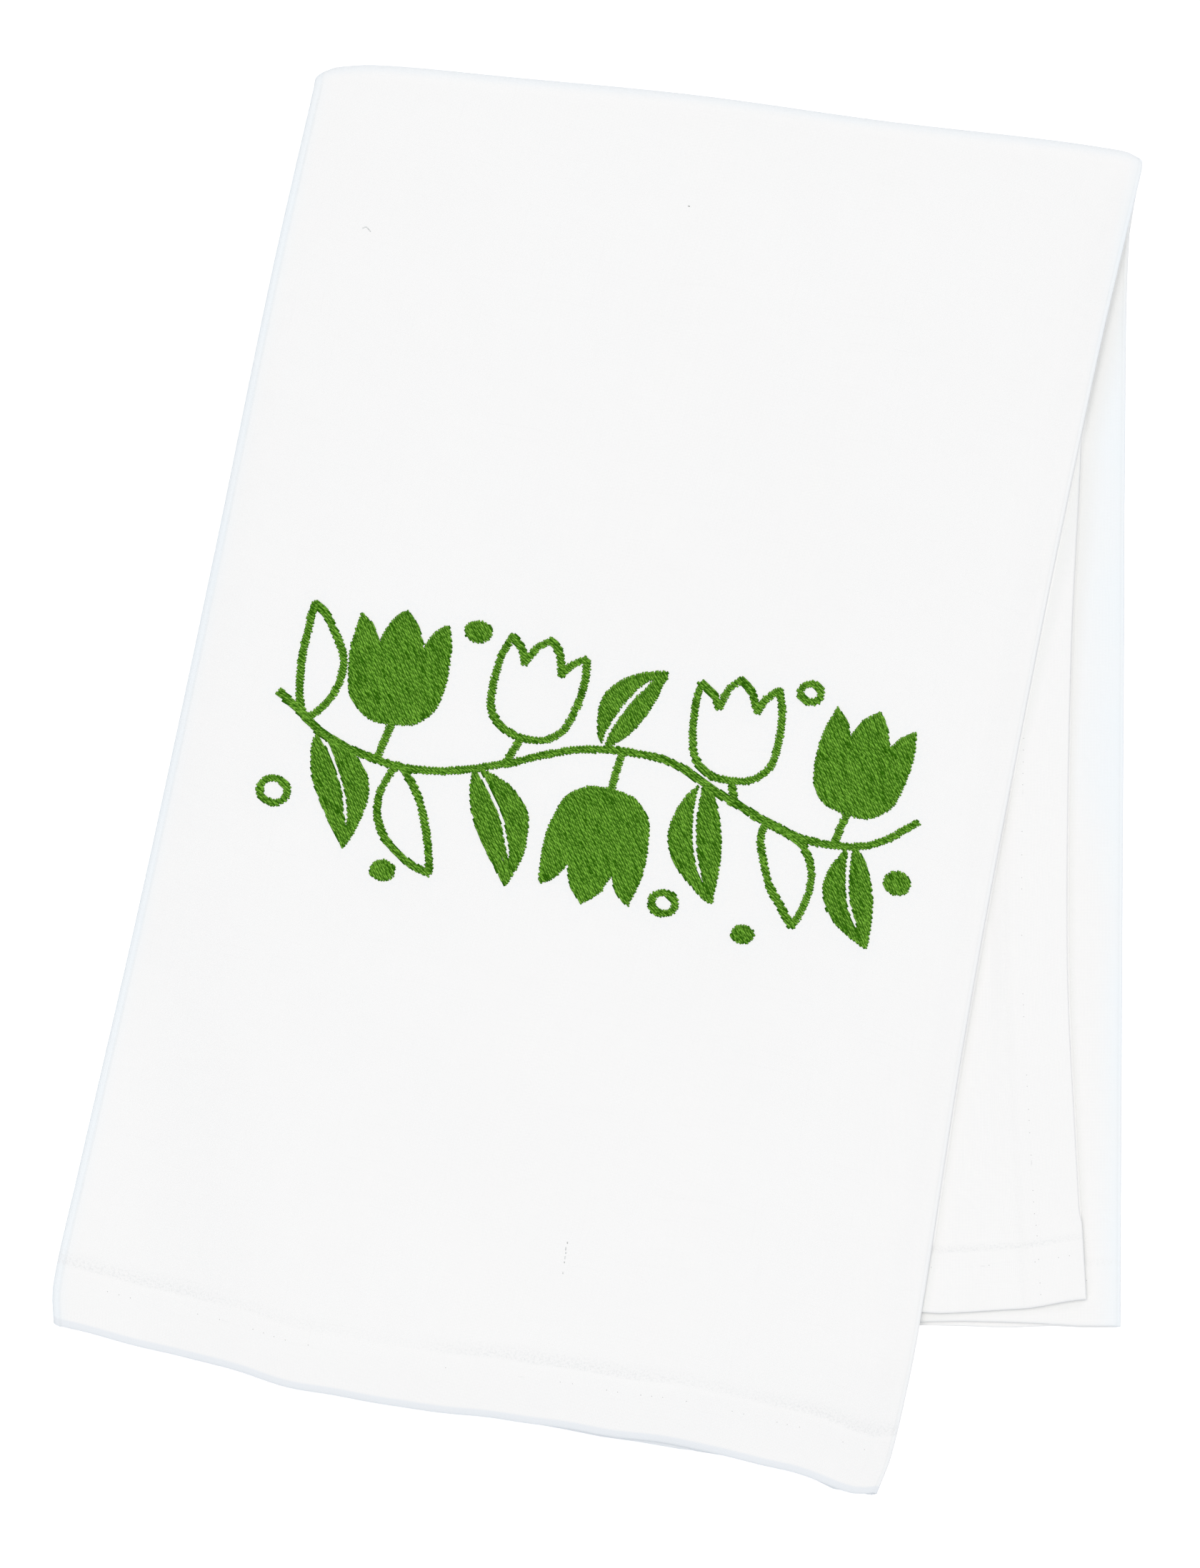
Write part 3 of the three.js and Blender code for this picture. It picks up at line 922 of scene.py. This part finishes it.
def laid_thread(name):
    """Each edge of the plan becomes a stitch: thread that comes up, lies over the cloth and dips again."""
    inputs = {
        "Plan": GEOMETRY,
        "Thread": 0.0005,
        "Flatness": 1.0,
        "Loft": 0.0002,
        "Depth": 0.0001,
        "Fullness": 0.6,
        "Pinch": 0.4,
        "Sides": 5,
        "Steps": 5,
        "Material": MATERIAL,
    }
    w, given = new_tree(name, "GeometryNodeTree", inputs)
    curve = w.step("GeometryNodeMeshToCurve", given["Plan"])
    curve = w.step("GeometryNodeResampleCurve", curve, {"Count": given["Steps"]})
    share = w.get("GeometryNodeSplineParameter", output="Factor")
    # the points between the needle holes are moved towards them, where the thread bends most
    length = w.get("GeometryNodeSplineLength", output="Length")
    shift = w.math("SINE", share * (2 * math.pi)) * -0.15 * length
    toward = w.scaled(w.get("GeometryNodeInputTangent"), shift)
    curve = w.step("GeometryNodeSetPosition", curve, {"Offset": toward})
    crest = (share * (1.0 - share) * 4.0) ** given["Fullness"]
    height = crest * (given["Loft"] + given["Depth"]) - given["Depth"]
    lift = w.get("GeometryNodeInputNamedAttribute", {"Name": "lift"}, data_type="FLOAT_VECTOR")
    curve = w.step("GeometryNodeSetPosition", curve, {"Offset": w.scaled(lift, height)})
    curve = w.step("GeometryNodeSetCurveRadius", curve, {"Radius": (crest - 1.0) * given["Pinch"] + 1.0})
    curve = w.step("GeometryNodeSetCurveNormal", curve, mode="Z_UP")
    curve = w.mark(curve, "thread_crest", crest)
    curve = w.mark(curve, "thread_length", w.get("GeometryNodeSplineParameter", output="Length"))
    ring = w.step("GeometryNodeCurvePrimitiveCircle", given["Sides"], {"Radius": given["Thread"] * 0.5})
    ring = w.mark(ring, "thread_girth", w.get("GeometryNodeSplineParameter", output="Factor"))
    squash = w.get("ShaderNodeCombineXYZ", {"X": 1.0, "Y": given["Flatness"], "Z": 1.0})
    ring = w.step("GeometryNodeTransform", ring, {"Scale": squash})
    thread = w.step("GeometryNodeCurveToMesh", curve, {"Profile Curve": ring, "Fill Caps": True})
    thread = w.step("GeometryNodeRealizeInstances", thread)
    thread = w.step("GeometryNodeSetShadeSmooth", thread)
    thread = w.step("GeometryNodeSetMaterial", thread, {"Material": given["Material"]})
    return w.finish({"Threads": thread}, GEOMETRY)


def sew(name, stitches, lifts, tones, material, **sizes):
    """A plain mesh of threads: stitches is (count, 2, 3) in millimetres, and lifts are their normals."""
    edges = np.arange(2 * len(stitches)).reshape(-1, 2).tolist()
    plan = bpy.data.meshes.new(name + " plan")
    plan.from_pydata((np.asarray(stitches).reshape(-1, 3) * MM).tolist(), edges, [])
    lift = plan.attributes.new("lift", "FLOAT_VECTOR", "POINT")
    lift.data.foreach_set("vector", np.repeat(np.asarray(lifts, dtype=float), 2, axis=0).ravel())
    tone = plan.attributes.new("thread_tone", "FLOAT", "POINT")
    tone.data.foreach_set("value", np.repeat(tones, 2))
    holder = bpy.data.objects.new(name + " plan", plan)
    bpy.context.scene.collection.objects.link(holder)
    modifier = holder.modifiers.new("threads", "NODES")
    modifier.node_group = shared(laid_thread)
    values = {"Material": material, **{key.capitalize(): value for key, value in sizes.items()}}
    for item in modifier.node_group.interface.items_tree:
        if item.in_out == "INPUT" and item.name in values:
            modifier[item.identifier] = values[item.name]
    graph = bpy.context.evaluated_depsgraph_get()
    mesh = bpy.data.meshes.new_from_object(
        holder.evaluated_get(graph), preserve_all_data_layers=True, depsgraph=graph
    )
    mesh.name = name
    bpy.data.objects.remove(holder)
    bpy.data.meshes.remove(plan)
    if not mesh.materials:
        mesh.materials.append(material)
    piece = bpy.data.objects.new(name, mesh)
    bpy.context.scene.collection.objects.link(piece)
    return piece


# Of a hem's stitches, the share that doesn't show, the share of the rest that is pulled tight, and how much
# of a tight one shows, in millimetres
UNSEEN_SHARE = 0.55
TIGHT_SHARE = 0.85
TIGHT_DOT = 0.35


def stitches_along(line, normals, length, gap, rng):
    """Stitches with gaps between them, along a line of points on the cloth.

    Most are pulled tight: these sink out of sight, or show only as a dot at their needle hole.
    """
    steps = np.linalg.norm(np.diff(line, axis=0), axis=1)
    at = np.concatenate([[0.0], np.cumsum(steps)])

    def along(values, places):
        """Values of the line's points at places along it."""
        return np.stack([np.interp(places, at, values[:, axis]) for axis in range(3)], axis=-1)

    starts = np.arange(gap, at[-1] - length, length + gap)
    starts = starts[rng.uniform(size=len(starts)) > UNSEEN_SHARE]
    starts = starts + rng.normal(0, 0.1, len(starts))
    tight = rng.uniform(size=len(starts)) < TIGHT_SHARE
    ends = starts + np.where(tight, TIGHT_DOT, length * rng.uniform(0.94, 1.03, len(starts)))
    return np.stack([along(line, starts), along(line, ends)], axis=1), along(normals, starts), tight


def grid_normals(grid):
    """Unit normals of a grid of points, pointing to the cloth's face side."""
    along = np.gradient(grid, axis=0)
    across = np.gradient(grid, axis=1)
    normal = np.cross(across, along)
    return normal / np.maximum(np.linalg.norm(normal, axis=-1, keepdims=True), 1e-9)


# The embroidery: a garland of tulips, leaves and berries


# The right half of a tulip's outline as shares of its height, from the foot to the tip of its middle petal
TULIP_FOOT_TO_TIP = table(
    "across up",
    (0.0, 0.0),
    (0.2, 0.03),
    (0.36, 0.17),
    (0.42, 0.4),
    (0.43, 0.68),
    (0.38, 0.93),
)
TULIP_TIP_TO_DIP = table(
    "across up",
    (0.38, 0.93),
    (0.26, 0.83),
    (0.19, 0.7),
)
TULIP_DIP_TO_MIDDLE = table(
    "across up",
    (0.19, 0.7),
    (0.12, 0.88),
    (0.0, 1.0),
)

# Where the garland's motifs sit on the face panel: across and up it, in millimetres, with the heading of
# each in degrees. An open motif is drawn in outline.
STEM = [(-93, 6), (-74, -5), (-50, -8), (-28, -2), (-6, 7), (18, 9), (40, 1), (62, -5), (80, -3), (92, 6)]
TULIPS = table(
    "from foot heading height open",
    ((-62, -7), (-60, 3), 94, 33, False),
    ((-26, -1), (-23, 7), 84, 29, True),
    ((6, 9), (5, -2), -93, 34, False),
    ((40, 1), (38, 7), 96, 29, True),
    ((70, -5), (72, 4), 84, 31, False),
)
LEAVES = table(
    "foot heading length width bend open",
    ((-84, 0), 97, 33, 12, 0.1, True),
    ((-80, -3), -66, 34, 15, -0.1, False),
    ((-56, -8), -62, 32, 13, 0.1, True),
    ((-34, -4), -64, 35, 15, -0.1, False),
    ((0, 9), 60, 29, 13, -0.1, False),
    ((30, 5), -74, 35, 15, 0.1, False),
    ((50, -3), -64, 30, 13, -0.1, True),
    ((75, -4), -70, 30, 14, 0.1, False),
)
BERRIES = table(
    "at radius open",
    ((-89, -22), 4.0, True),
    ((-41, 34), 3.8, False),
    ((-54, -38), 3.6, False),
    ((55, 36), 2.9, True),
    ((90, -12), 4.0, False),
    ((26, -31), 3.4, True),
    ((50, -35), 3.2, False),
)

# How each kind of shape is stitched: its heading against the fill's, in degrees
TURNS = {"stem": 28, "open": 20, "filled": 0}

# The two layers of stitches: the length of one, if not the fill's, how the rows lie, the thread's thickness
# against the fill's, its flatness and crest, and the range of its tones. Sizes are in millimetres.
LAYERS = [
    {
        "name": "embroidery_underlay",
        "length": 7.0,
        "rows": {"offset": 0.5, "inset": 0.25, "lap": 0.3, "sway": 0.2},
        "thread": 1.7,
        "flatness": 0.25,
        "loft": 0.1,
        # the underlay's low tones darken it, as painted shade beneath the fill
        "tones": (-0.6, -0.4),
        "steps": 3,
    },
    {
        "name": "embroidery_fill",
        "length": None,
        "rows": {"offset": 0.0, "inset": 0.0, "lap": 0.3, "sway": 1.0},
        "thread": 1.0,
        "flatness": 0.7,
        "loft": 0.3,
        "tones": (0.0, 0.4),
        "steps": 4,
    },
]

# Share of the embroidery's stitches that lie duller than the rest
DULL_SHARE = 0.05

UPWARD = [0.0, 0.0, 1.0]

# Flecks of seed and short fibres caught in the weave: where each starts and ends on the face panel
FLECKS = table(
    "from to tone",
    ((-96.7, 139.6), (-95.6, 140.3), 0.9),
    ((-95.7, 140.3), (-95.0, 139.8), 0.8),
    ((-95.2, 140.0), (-94.1, 139.1), 0.6),
    ((-7.3, 164.6), (-6.7, 164.6), 0.0),
    ((18.9, -130.8), (19.0, -131.3), 0.0),
    ((18.8, -132.3), (18.9, -133.3), 0.6),
    ((19.1, -133.7), (19.1, -134.2), 0.5),
    ((19.1, -134.8), (19.2, -135.8), 1.1),
    ((19.2, -136.4), (19.3, -136.9), 0.4),
    ((19.4, -139.4), (19.5, -140.0), 0.7),
)


def turned(points, heading, size, foot):
    """Points across and up a motif, turned so that up runs along heading (degrees), at foot."""
    angle = math.radians(heading)
    up = np.array([math.cos(angle), math.sin(angle)])
    side = np.array([up[1], -up[0]])
    return np.asarray(foot) + size * (points[:, :1] * side + points[:, 1:] * up)


def smooth_line(points, per_step=6):
    """A smooth open line through points."""
    points = np.asarray(points, dtype=float)
    last = len(points) - 1
    line = []
    for i in range(last):
        a, b, c, d = (points[min(max(i + k, 0), last)] for k in (-1, 0, 1, 2))
        for s in np.arange(per_step) / per_step:
            bend = (2 * a - 5 * b + 4 * c - d) * s**2 + (3 * b - a - 3 * c + d) * s**3
            line.append(b + ((c - a) * s + bend) / 2)
    return np.array([*line, points[-1]])


def tulip_outline(row):
    """A cup of petals with three points."""
    right = np.zeros((1, 2))
    for part in (TULIP_FOOT_TO_TIP, TULIP_TIP_TO_DIP, TULIP_DIP_TO_MIDDLE):
        line = smooth_line([(spot["across"], spot["up"]) for spot in part])
        right = np.concatenate([right, line[1:]])
    left = right[-2:0:-1] * [-1, 1]
    return turned(np.concatenate([right, left]), row["heading"], row["height"], row["foot"])


def leaf_outline(row, sides=(-1, 1), rib=0.0):
    """A pointed leaf that curves to one side, or one half of it, up to a midrib that is left bare."""
    s = np.linspace(0, 1, 21)
    middle = row["bend"] * 4 * s * (1 - s) * row["length"]
    half = row["width"] / 2 * np.sin(math.pi * s**0.85) ** 0.85
    bare = np.minimum(rib / 2 * smoothstep(s, 0.86, 0.7), half)
    a, b = (middle + side * (half if side in sides else -bare) for side in (-1, 1))
    left, right = (np.stack([line, s * row["length"]], axis=-1) for line in (a, b))
    return turned(np.concatenate([right, left[-2:0:-1]]), row["heading"], 1.0, row["foot"])


def berry_outline(row):
    """A slightly flattened round."""
    angle = np.linspace(0, 2 * math.pi, 25)[:-1]
    round_line = np.stack([np.cos(angle), 0.88 * np.sin(angle)], axis=-1)
    return np.asarray(row["at"]) + row["radius"] * round_line


def drawn(line, width, closed):
    """A line of one width, as short pieces that overlap."""
    line = np.asarray(line, dtype=float)
    after = np.roll(line, -1, axis=0)
    if not closed:
        line, after = line[:-1], after[:-1]
    along = after - line
    along = along / np.maximum(np.linalg.norm(along, axis=1, keepdims=True), 1e-9)
    side = np.stack([-along[:, 1], along[:, 0]], axis=-1) * width / 2
    lap = along * width * 0.2
    corners = [line - lap + side, after + lap + side, after + lap - side, line - lap - side]
    return list(np.stack(corners, axis=1))


def garland(outline, stem):
    """Outlines to be filled with stitches, by kind: whole motifs, and short pieces of drawn lines."""
    shapes = {"stem": drawn(smooth_line(STEM), stem, False), "open": [], "filled": []}
    for row in TULIPS:
        shapes["stem"] += drawn([row["from"], row["foot"]], stem, False)
    motifs = [(tulip_outline, TULIPS), (leaf_outline, LEAVES), (berry_outline, BERRIES)]
    for shape, rows in motifs:
        for row in rows:
            if row["open"]:
                shapes["open"] += drawn(shape(row), outline, True)
            elif shape is leaf_outline:
                shapes["filled"] += [leaf_outline(row, (side,), 1.3) for side in (-1, 1)]
            else:
                shapes["filled"].append(shape(row))
    return shapes


def spans_across(shapes, heading, spacing, offset):
    """Stretches of each stitch row that lie inside the shapes: (row, start, end) along the heading."""
    forward = np.array([math.cos(heading), math.sin(heading)])
    side = np.array([-forward[1], forward[0]])
    found = {}
    for shape in shapes:
        crossings = {}
        a = np.stack([shape @ forward, shape @ side / spacing - offset], axis=-1)
        for (a0, r0), (a1, r1) in zip(a, np.roll(a, -1, axis=0)):
            low, high = sorted((r0, r1))
            for row in range(math.ceil(low), math.ceil(high)):
                crossings.setdefault(row, []).append(a0 + (a1 - a0) * (row - r0) / (r1 - r0))
        for row, places in crossings.items():
            places.sort()
            found.setdefault(row, []).extend(zip(places[::2], places[1::2]))
    spans = []
    for row, stretches in sorted(found.items()):
        stretches.sort()
        start, end = stretches[0]
        for low, high in stretches[1:]:
            if low > end + 0.1:
                spans.append((row + offset, start, end))
                start, end = low, high
            end = max(end, high)
        spans.append((row + offset, start, end))
    return spans, forward, side


def fill_plan(shapes, heading, spacing, length, rng, offset=0.0, inset=0.0, lap=0.0, sway=0.0):
    """Needle holes of a fill: rows of stitches, staggered like bricks, placed across and up the panel."""
    spans, forward, side = spans_across(shapes, heading, spacing, offset)
    stitches = []
    for row, start, end in spans:
        start = start + inset + rng.normal(0, 0.12)
        end = end - inset + rng.normal(0, 0.12)
        if end - start < 0.6:
            continue
        stagger = (row * 0.382) % 1.0
        first = (math.ceil(start / length - stagger) + stagger) * length
        holes = [hole for hole in np.arange(first, end, length) if start + 0.7 < hole < end - 0.7]
        holes = [start, *(hole + rng.normal(0, 0.3) for hole in holes), end]
        for a, b in zip(holes, holes[1:]):
            a, b = max(a - lap, start), min(b + lap, end)
            slant = np.array([-0.09, 0.09]) * min(b - a, 2.0) / 2.0
            wander = 0.15 * soft_waves(np.array([a, b]), row * spacing, **WAVES["stitch rows"])
            shift = row * spacing + wander + slant + sway * (rng.normal(0, 0.08) + rng.normal(0, 0.04, 2))
            stitches.append([a * forward + shift[0] * side, b * forward + shift[1] * side])
    return np.array(stitches).reshape(-1, 2, 2)


def garland_plan(settings, length, rng, **more):
    """Needle holes of the whole garland, each kind of shape at its own heading."""
    plans = []
    spacing = settings.spacing / MM
    for kind, shapes in garland(settings.outline / MM, settings.stem / MM).items():
        heading = settings.heading + math.radians(TURNS[kind])
        plans.append(fill_plan(shapes, heading, spacing, length, rng, **more))
    return np.concatenate(plans)


def from_stitches(vertices, fold, settings):
    """Distance of each point of the cloth from the embroidery's nearest needle hole, up to FAR."""
    plan = garland_plan(settings, 1.5, np.random.default_rng(settings.seed))
    holes = fold.front_surface(plan[..., 0], plan[..., 1]).reshape(-1, 3)
    tree = KDTree(len(holes))
    for i, hole in enumerate(holes):
        tree.insert(hole, i)
    tree.balance()
    low, high = holes.min(axis=0) - FAR, holes.max(axis=0) + FAR
    near = np.flatnonzero(np.all((vertices > low) & (vertices < high), axis=1))
    distances = np.full(len(vertices), FAR)
    for i in near:
        distances[i] = min(tree.find(vertices[i])[2], FAR)
    return distances


# Settings


def number(name, description, default, **more):
    """A plain number."""
    return FloatProperty(name=name, description=description, default=default, **more)


def size(name, description, default):
    """A length in metres."""
    return number(name, description, default, unit="LENGTH")


def angle(name, description, degrees):
    """An angle, given in degrees."""
    return number(name, description, math.radians(degrees), subtype="ANGLE")


def colour(name, description, default):
    """A colour of three linear values."""
    return FloatVectorProperty(
        name=name, description=description, default=default, subtype="COLOR", min=0.0, max=1.0
    )


class TowelClothSettings(bpy.types.PropertyGroup):
    """Sizes and colours of the cloth, and how it is folded"""

    thickness: size("Cloth", "Thickness of one layer of cloth", 0.0006)
    hem_thickness: size("Hem", "Thickness of the double-turned hem", 0.00105)
    hem_width: size("Hem width", "Width of the hems", 0.017)
    layer_pitch: size("Layer pitch", "Height from one layer to the next", 0.00135)
    drop: size("Drop", "Distance over which the front half comes down off the back half", 0.045)
    unevenness: size("Unevenness", "Height of the slow waves in the front half", 0.0003)
    yarn_spacing: size("Yarn spacing", "Distance between neighbouring yarns", 0.00042)
    fan: angle("Fan", "Turn of the front half against the back half", 11.7)
    side_roll: number("Side roll", "How many times further out than up the lengthwise folds bulge", 1.6)
    cross_roll: number("Cross roll", "How many times further out than up the crosswise fold bulges", 1.25)
    fold_press: number("Fold press", "Share by which the stack is thinner beside its folds", 0.2)
    colour: colour("Cotton", "Colour of the bleached cotton", (0.79, 0.789, 0.79))
    seed: colour("Seed", "Colour of the flecks of seed in the weave", (0.3, 0.3, 0.29))
    fibre: colour("Fibre", "Colour of the paler fibres in the weave", (0.66, 0.68, 0.68))


class TowelHemSettings(bpy.types.PropertyGroup):
    """Sizes and colour of the hems' lock stitches"""

    stitch: size("Stitch", "Length of one lock stitch", 0.003)
    gap: size("Gap", "Distance between two stitches", 0.0003)
    thread: size("Thread", "Thickness of the sewing thread", 0.00024)
    colour: colour("Sewing thread", "Colour of the sewing thread", (0.79, 0.789, 0.79))
    seed: IntProperty(name="Seed", description="Seed of the stitches' unevenness", default=8)


class TowelEmbroiderySettings(bpy.types.PropertyGroup):
    """Sizes and colours of the embroidery"""

    spacing: size("Row spacing", "Distance between rows of stitches", 0.00062)
    stitch: size("Stitch", "Length of one stitch of the fill", 0.0021)
    thread: size("Thread", "Thickness of the embroidery thread", 0.00058)
    twist: size("Twist", "Length over which the thread's plies turn once round it", 0.0033)
    outline: size("Outline", "Width of the drawn outlines", 0.002)
    stem: size("Stem", "Width of the stems", 0.0021)
    heading: angle("Heading", "Heading of the stitches across the panel", -55.0)
    seed: IntProperty(name="Seed", description="Seed of the stitches' unevenness", default=4)
    # the light and dark greens are lit and shaded copies of the thread's colour: painted highlight on
    # crests, painted shade in dips
    light: colour("Light green", "Colour of the thread on the crest of a stitch", (0.19, 0.425, 0.045))
    dark: colour("Dark green", "Colour of the thread where it dips", (0.022, 0.108, 0.0))


class TowelStageSettings(bpy.types.PropertyGroup):
    """Camera, lights and floor"""

    height: size("Camera height", "Height of the camera over the floor", 2.6)
    view: size("View", "Height of the part of the floor that the camera sees", 0.4473)
    view_x: size("View right", "Middle of the view, to the right of the towel's middle", 0.0006)
    view_y: size("View up", "Middle of the view, above the towel's middle", -0.0011)
    sky: number("Sky", "Strength of the light all around", 0.536)
    sky_colour: colour("Sky colour", "Colour of the light all around", (0.728, 0.864, 1.0))
    key: number("Key", "Strength of the soft light overhead", 2.602)
    key_colour: colour("Key colour", "Colour of the soft light overhead", (1.0, 0.912, 0.824))
    softness: angle("Softness", "Angle that the soft light spans", 75.0)
    floor: colour("Floor", "Colour of the floor", (0.93, 0.93, 0.93))
    glow: number("Floor glow", "Light that the pale floor gives off", 0.2)


class TowelSettings(bpy.types.PropertyGroup):
    """All the towel's settings"""

    cloth: PointerProperty(type=TowelClothSettings)
    hems: PointerProperty(type=TowelHemSettings)
    embroidery: PointerProperty(type=TowelEmbroiderySettings)
    stage: PointerProperty(type=TowelStageSettings)


# Operators


class TOWEL_OT_cloth(bpy.types.Operator):
    """Fold the towel's cloth"""

    bl_idname = "towel.cloth"
    bl_label = "Fold cloth"

    def execute(self, context):
        settings = context.scene.towel.cloth
        cloth = Cloth(Fold(settings))
        vertices, faces, uv, folds, beside = cloth.mesh()
        piece = finish_mesh(
            "towel_cloth",
            vertices,
            faces,
            cotton_material(settings, cloth.width * MM),
            uv,
            from_fold=folds * MM,
            beside_edges=beside * MM,
            from_stitches=from_stitches(vertices, cloth.fold, context.scene.towel.embroidery) * MM,
        )
        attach(piece, "root")
        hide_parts("towel")
        return {"FINISHED"}


class TOWEL_OT_hems(bpy.types.Operator):
    """Sew the lock stitches along the hems"""

    bl_idname = "towel.hems"
    bl_label = "Sew hems"

    def execute(self, context):
        settings = context.scene.towel.hems
        cloth = Cloth(Fold(context.scene.towel.cloth))
        grid = cloth.face
        normals = grid_normals(grid)
        end_row = Cloth.END_ROWS.index(STITCH_LINE)
        columns = [i for i, point in enumerate(cloth.points) if point["free"] == STITCH_LINE]
        lines = [(grid[row], normals[row]) for row in (end_row, len(grid) - 1 - end_row)]
        lines += [(grid[:, column], normals[:, column]) for column in columns]
        stitch, gap = settings.stitch / MM, settings.gap / MM
        rng = np.random.default_rng(settings.seed)
        sewn = [stitches_along(line, up, stitch, gap, rng) for line, up in lines]
        stitches, lifts, tight = (np.concatenate(parts) for parts in zip(*sewn))
        # where the cloth's face is turned down, the stitches stay inside it and off the floor
        faces_down = lifts[:, 2] < 0.4
        stitches[faces_down] -= (lifts[faces_down] * 0.25)[:, None]
        stitches[..., 2] = np.maximum(stitches[..., 2], 0.1)
        # the sewing thread's dark colour is painted shade: tight stitches take it, as the painted shade of
        # their needle holes, and the others stay as white as the cloth
        shade = np.array(settings.colour) * 0.6
        piece = sew(
            "hem_stitches",
            stitches,
            lifts,
            np.where(tight, -0.5, 1.5),
            thread_material("white sewing thread", settings.colour, shade, 0.001),
            thread=settings.thread,
            flatness=0.2,
            loft=0.00001,
            depth=0.00006,
            sides=5,
            steps=5,
        )
        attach(piece, "root")
        return {"FINISHED"}


class TOWEL_OT_embroider(bpy.types.Operator):
    """Embroider the garland on the face panel"""

    bl_idname = "towel.embroider"
    bl_label = "Embroider garland"

    def execute(self, context):
        settings = context.scene.towel.embroidery
        fold = Fold(context.scene.towel.cloth)
        rng = np.random.default_rng(settings.seed)
        green = thread_material("green embroidery thread", settings.light, settings.dark, settings.twist)
        for layer in LAYERS:
            length = layer["length"] or settings.stitch / MM
            plan = garland_plan(settings, length, rng, **layer["rows"])
            tones = rng.uniform(*layer["tones"], len(plan))
            tones -= 0.5 * (rng.uniform(size=len(plan)) < DULL_SHARE)
            piece = sew(
                layer["name"],
                fold.front_surface(plan[..., 0], plan[..., 1]),
                np.tile(UPWARD, (len(plan), 1)),
                tones,
                green,
                thread=settings.thread * layer["thread"],
                flatness=layer["flatness"],
                loft=layer["loft"] * MM,
                depth=0.0,
                fullness=0.3,
                pinch=0.45,
                sides=5,
                steps=layer["steps"],
            )
            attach(piece, "root")
        return {"FINISHED"}


class TOWEL_OT_flecks(bpy.types.Operator):
    """Catch a few flecks and short fibres in the weave"""

    bl_idname = "towel.flecks"
    bl_label = "Add flecks"

    def execute(self, context):
        cloth = context.scene.towel.cloth
        ends = np.array([[fleck["from"], fleck["to"]] for fleck in FLECKS], dtype=float)
        piece = sew(
            "cotton_flecks",
            Fold(cloth).front_surface(ends[..., 0], ends[..., 1]),
            np.tile(UPWARD, (len(ends), 1)),
            [fleck["tone"] for fleck in FLECKS],
            thread_material("seed and fibre", cloth.fibre, cloth.seed, 0.002),
            thread=0.0003,
            flatness=0.3,
            loft=0.00003,
            depth=0.00003,
            pinch=0.2,
            sides=6,
            steps=5,
        )
        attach(piece, "root")
        return {"FINISHED"}


class TOWEL_OT_stage(bpy.types.Operator):
    """Lay the floor and set the lights and the camera"""

    bl_idname = "towel.stage"
    bl_label = "Set stage"

    def execute(self, context):
        settings = context.scene.towel.stage
        scene = context.scene
        material, shader, w = new_material("pale floor")
        uneven = w.noise(w.get("ShaderNodeTexCoord", output="Object"), 3.0)
        inputs = {
            "Base Color": w.mix_colour(uneven, shaded(settings.floor, 0.995), shaded(settings.floor)),
            "Roughness": 0.9,
            "Specular IOR Level": 0.1,
            "Emission Color": (1.0, 1.0, 1.0, 1.0),
            "Emission Strength": settings.glow,
        }
        w.fill(shader, inputs)
        reach = 3000.0
        corners = [(x * reach, y * reach, 0.0) for x, y in ((-1, -1), (1, -1), (1, 1), (-1, 1))]
        floor = finish_mesh("floor", corners, [(0, 1, 2, 3)], material)

        world = bpy.data.worlds.new("soft studio")
        world.use_nodes = True
        background = world.node_tree.nodes["Background"]
        background.inputs["Color"].default_value = shaded(settings.sky_colour)
        background.inputs["Strength"].default_value = settings.sky
        scene.world = world

        lamp = bpy.data.lights.new("overhead softbox", "SUN")
        lamp.angle = settings.softness
        lamp.energy = settings.key
        lamp.color = settings.key_colour
        key = bpy.data.objects.new("overhead softbox", lamp)
        key.location = (0.08, 0.2, 2.4)
        key.rotation_euler = key.location.to_track_quat("Z", "Y").to_euler()
        scene.collection.objects.link(key)

        camera = bpy.data.cameras.new("camera")
        camera.sensor_fit = "VERTICAL"
        camera.sensor_height = 36.0
        camera.lens = camera.sensor_height * settings.height / settings.view
        camera.clip_end = 20.0
        eye = bpy.data.objects.new("camera", camera)
        eye.location = (settings.view_x, settings.view_y, settings.height)
        scene.collection.objects.link(eye)
        scene.camera = eye
        scene.view_settings.view_transform = "Standard"
        return {"FINISHED"}


class TOWEL_PT_panel(bpy.types.Panel):
    """Settings and steps of the towel"""

    bl_label = "Flour sack towel"
    bl_idname = "TOWEL_PT_panel"
    bl_space_type = "VIEW_3D"
    bl_region_type = "UI"
    bl_category = "Towel"

    def draw(self, context):
        towel = context.scene.towel
        groups = [
            (towel.cloth, ["towel.cloth", "towel.flecks"]),
            (towel.hems, ["towel.hems"]),
            (towel.embroidery, ["towel.embroider"]),
            (towel.stage, ["towel.stage"]),
        ]
        for settings, steps in groups:
            box = self.layout.box()
            for name in settings.bl_rna.properties.keys():
                if name not in ("rna_type", "name"):
                    box.prop(settings, name)
            for step in steps:
                box.operator(step)


CLASSES = (
    TowelClothSettings,
    TowelHemSettings,
    TowelEmbroiderySettings,
    TowelStageSettings,
    TowelSettings,
    TOWEL_OT_cloth,
    TOWEL_OT_hems,
    TOWEL_OT_embroider,
    TOWEL_OT_flecks,
    TOWEL_OT_stage,
    TOWEL_PT_panel,
)


def register():
    for cls in CLASSES:
        bpy.utils.register_class(cls)
    bpy.types.Scene.towel = PointerProperty(type=TowelSettings)


def unregister():
    del bpy.types.Scene.towel
    for cls in reversed(CLASSES):
        bpy.utils.unregister_class(cls)


def main():
    """Builds the towel and its studio."""
    register()
    bpy.ops.towel.stage()
    bpy.ops.towel.cloth()
    bpy.ops.towel.hems()
    bpy.ops.towel.embroider()
    bpy.ops.towel.flecks()


if __name__ == "__main__":
    main()
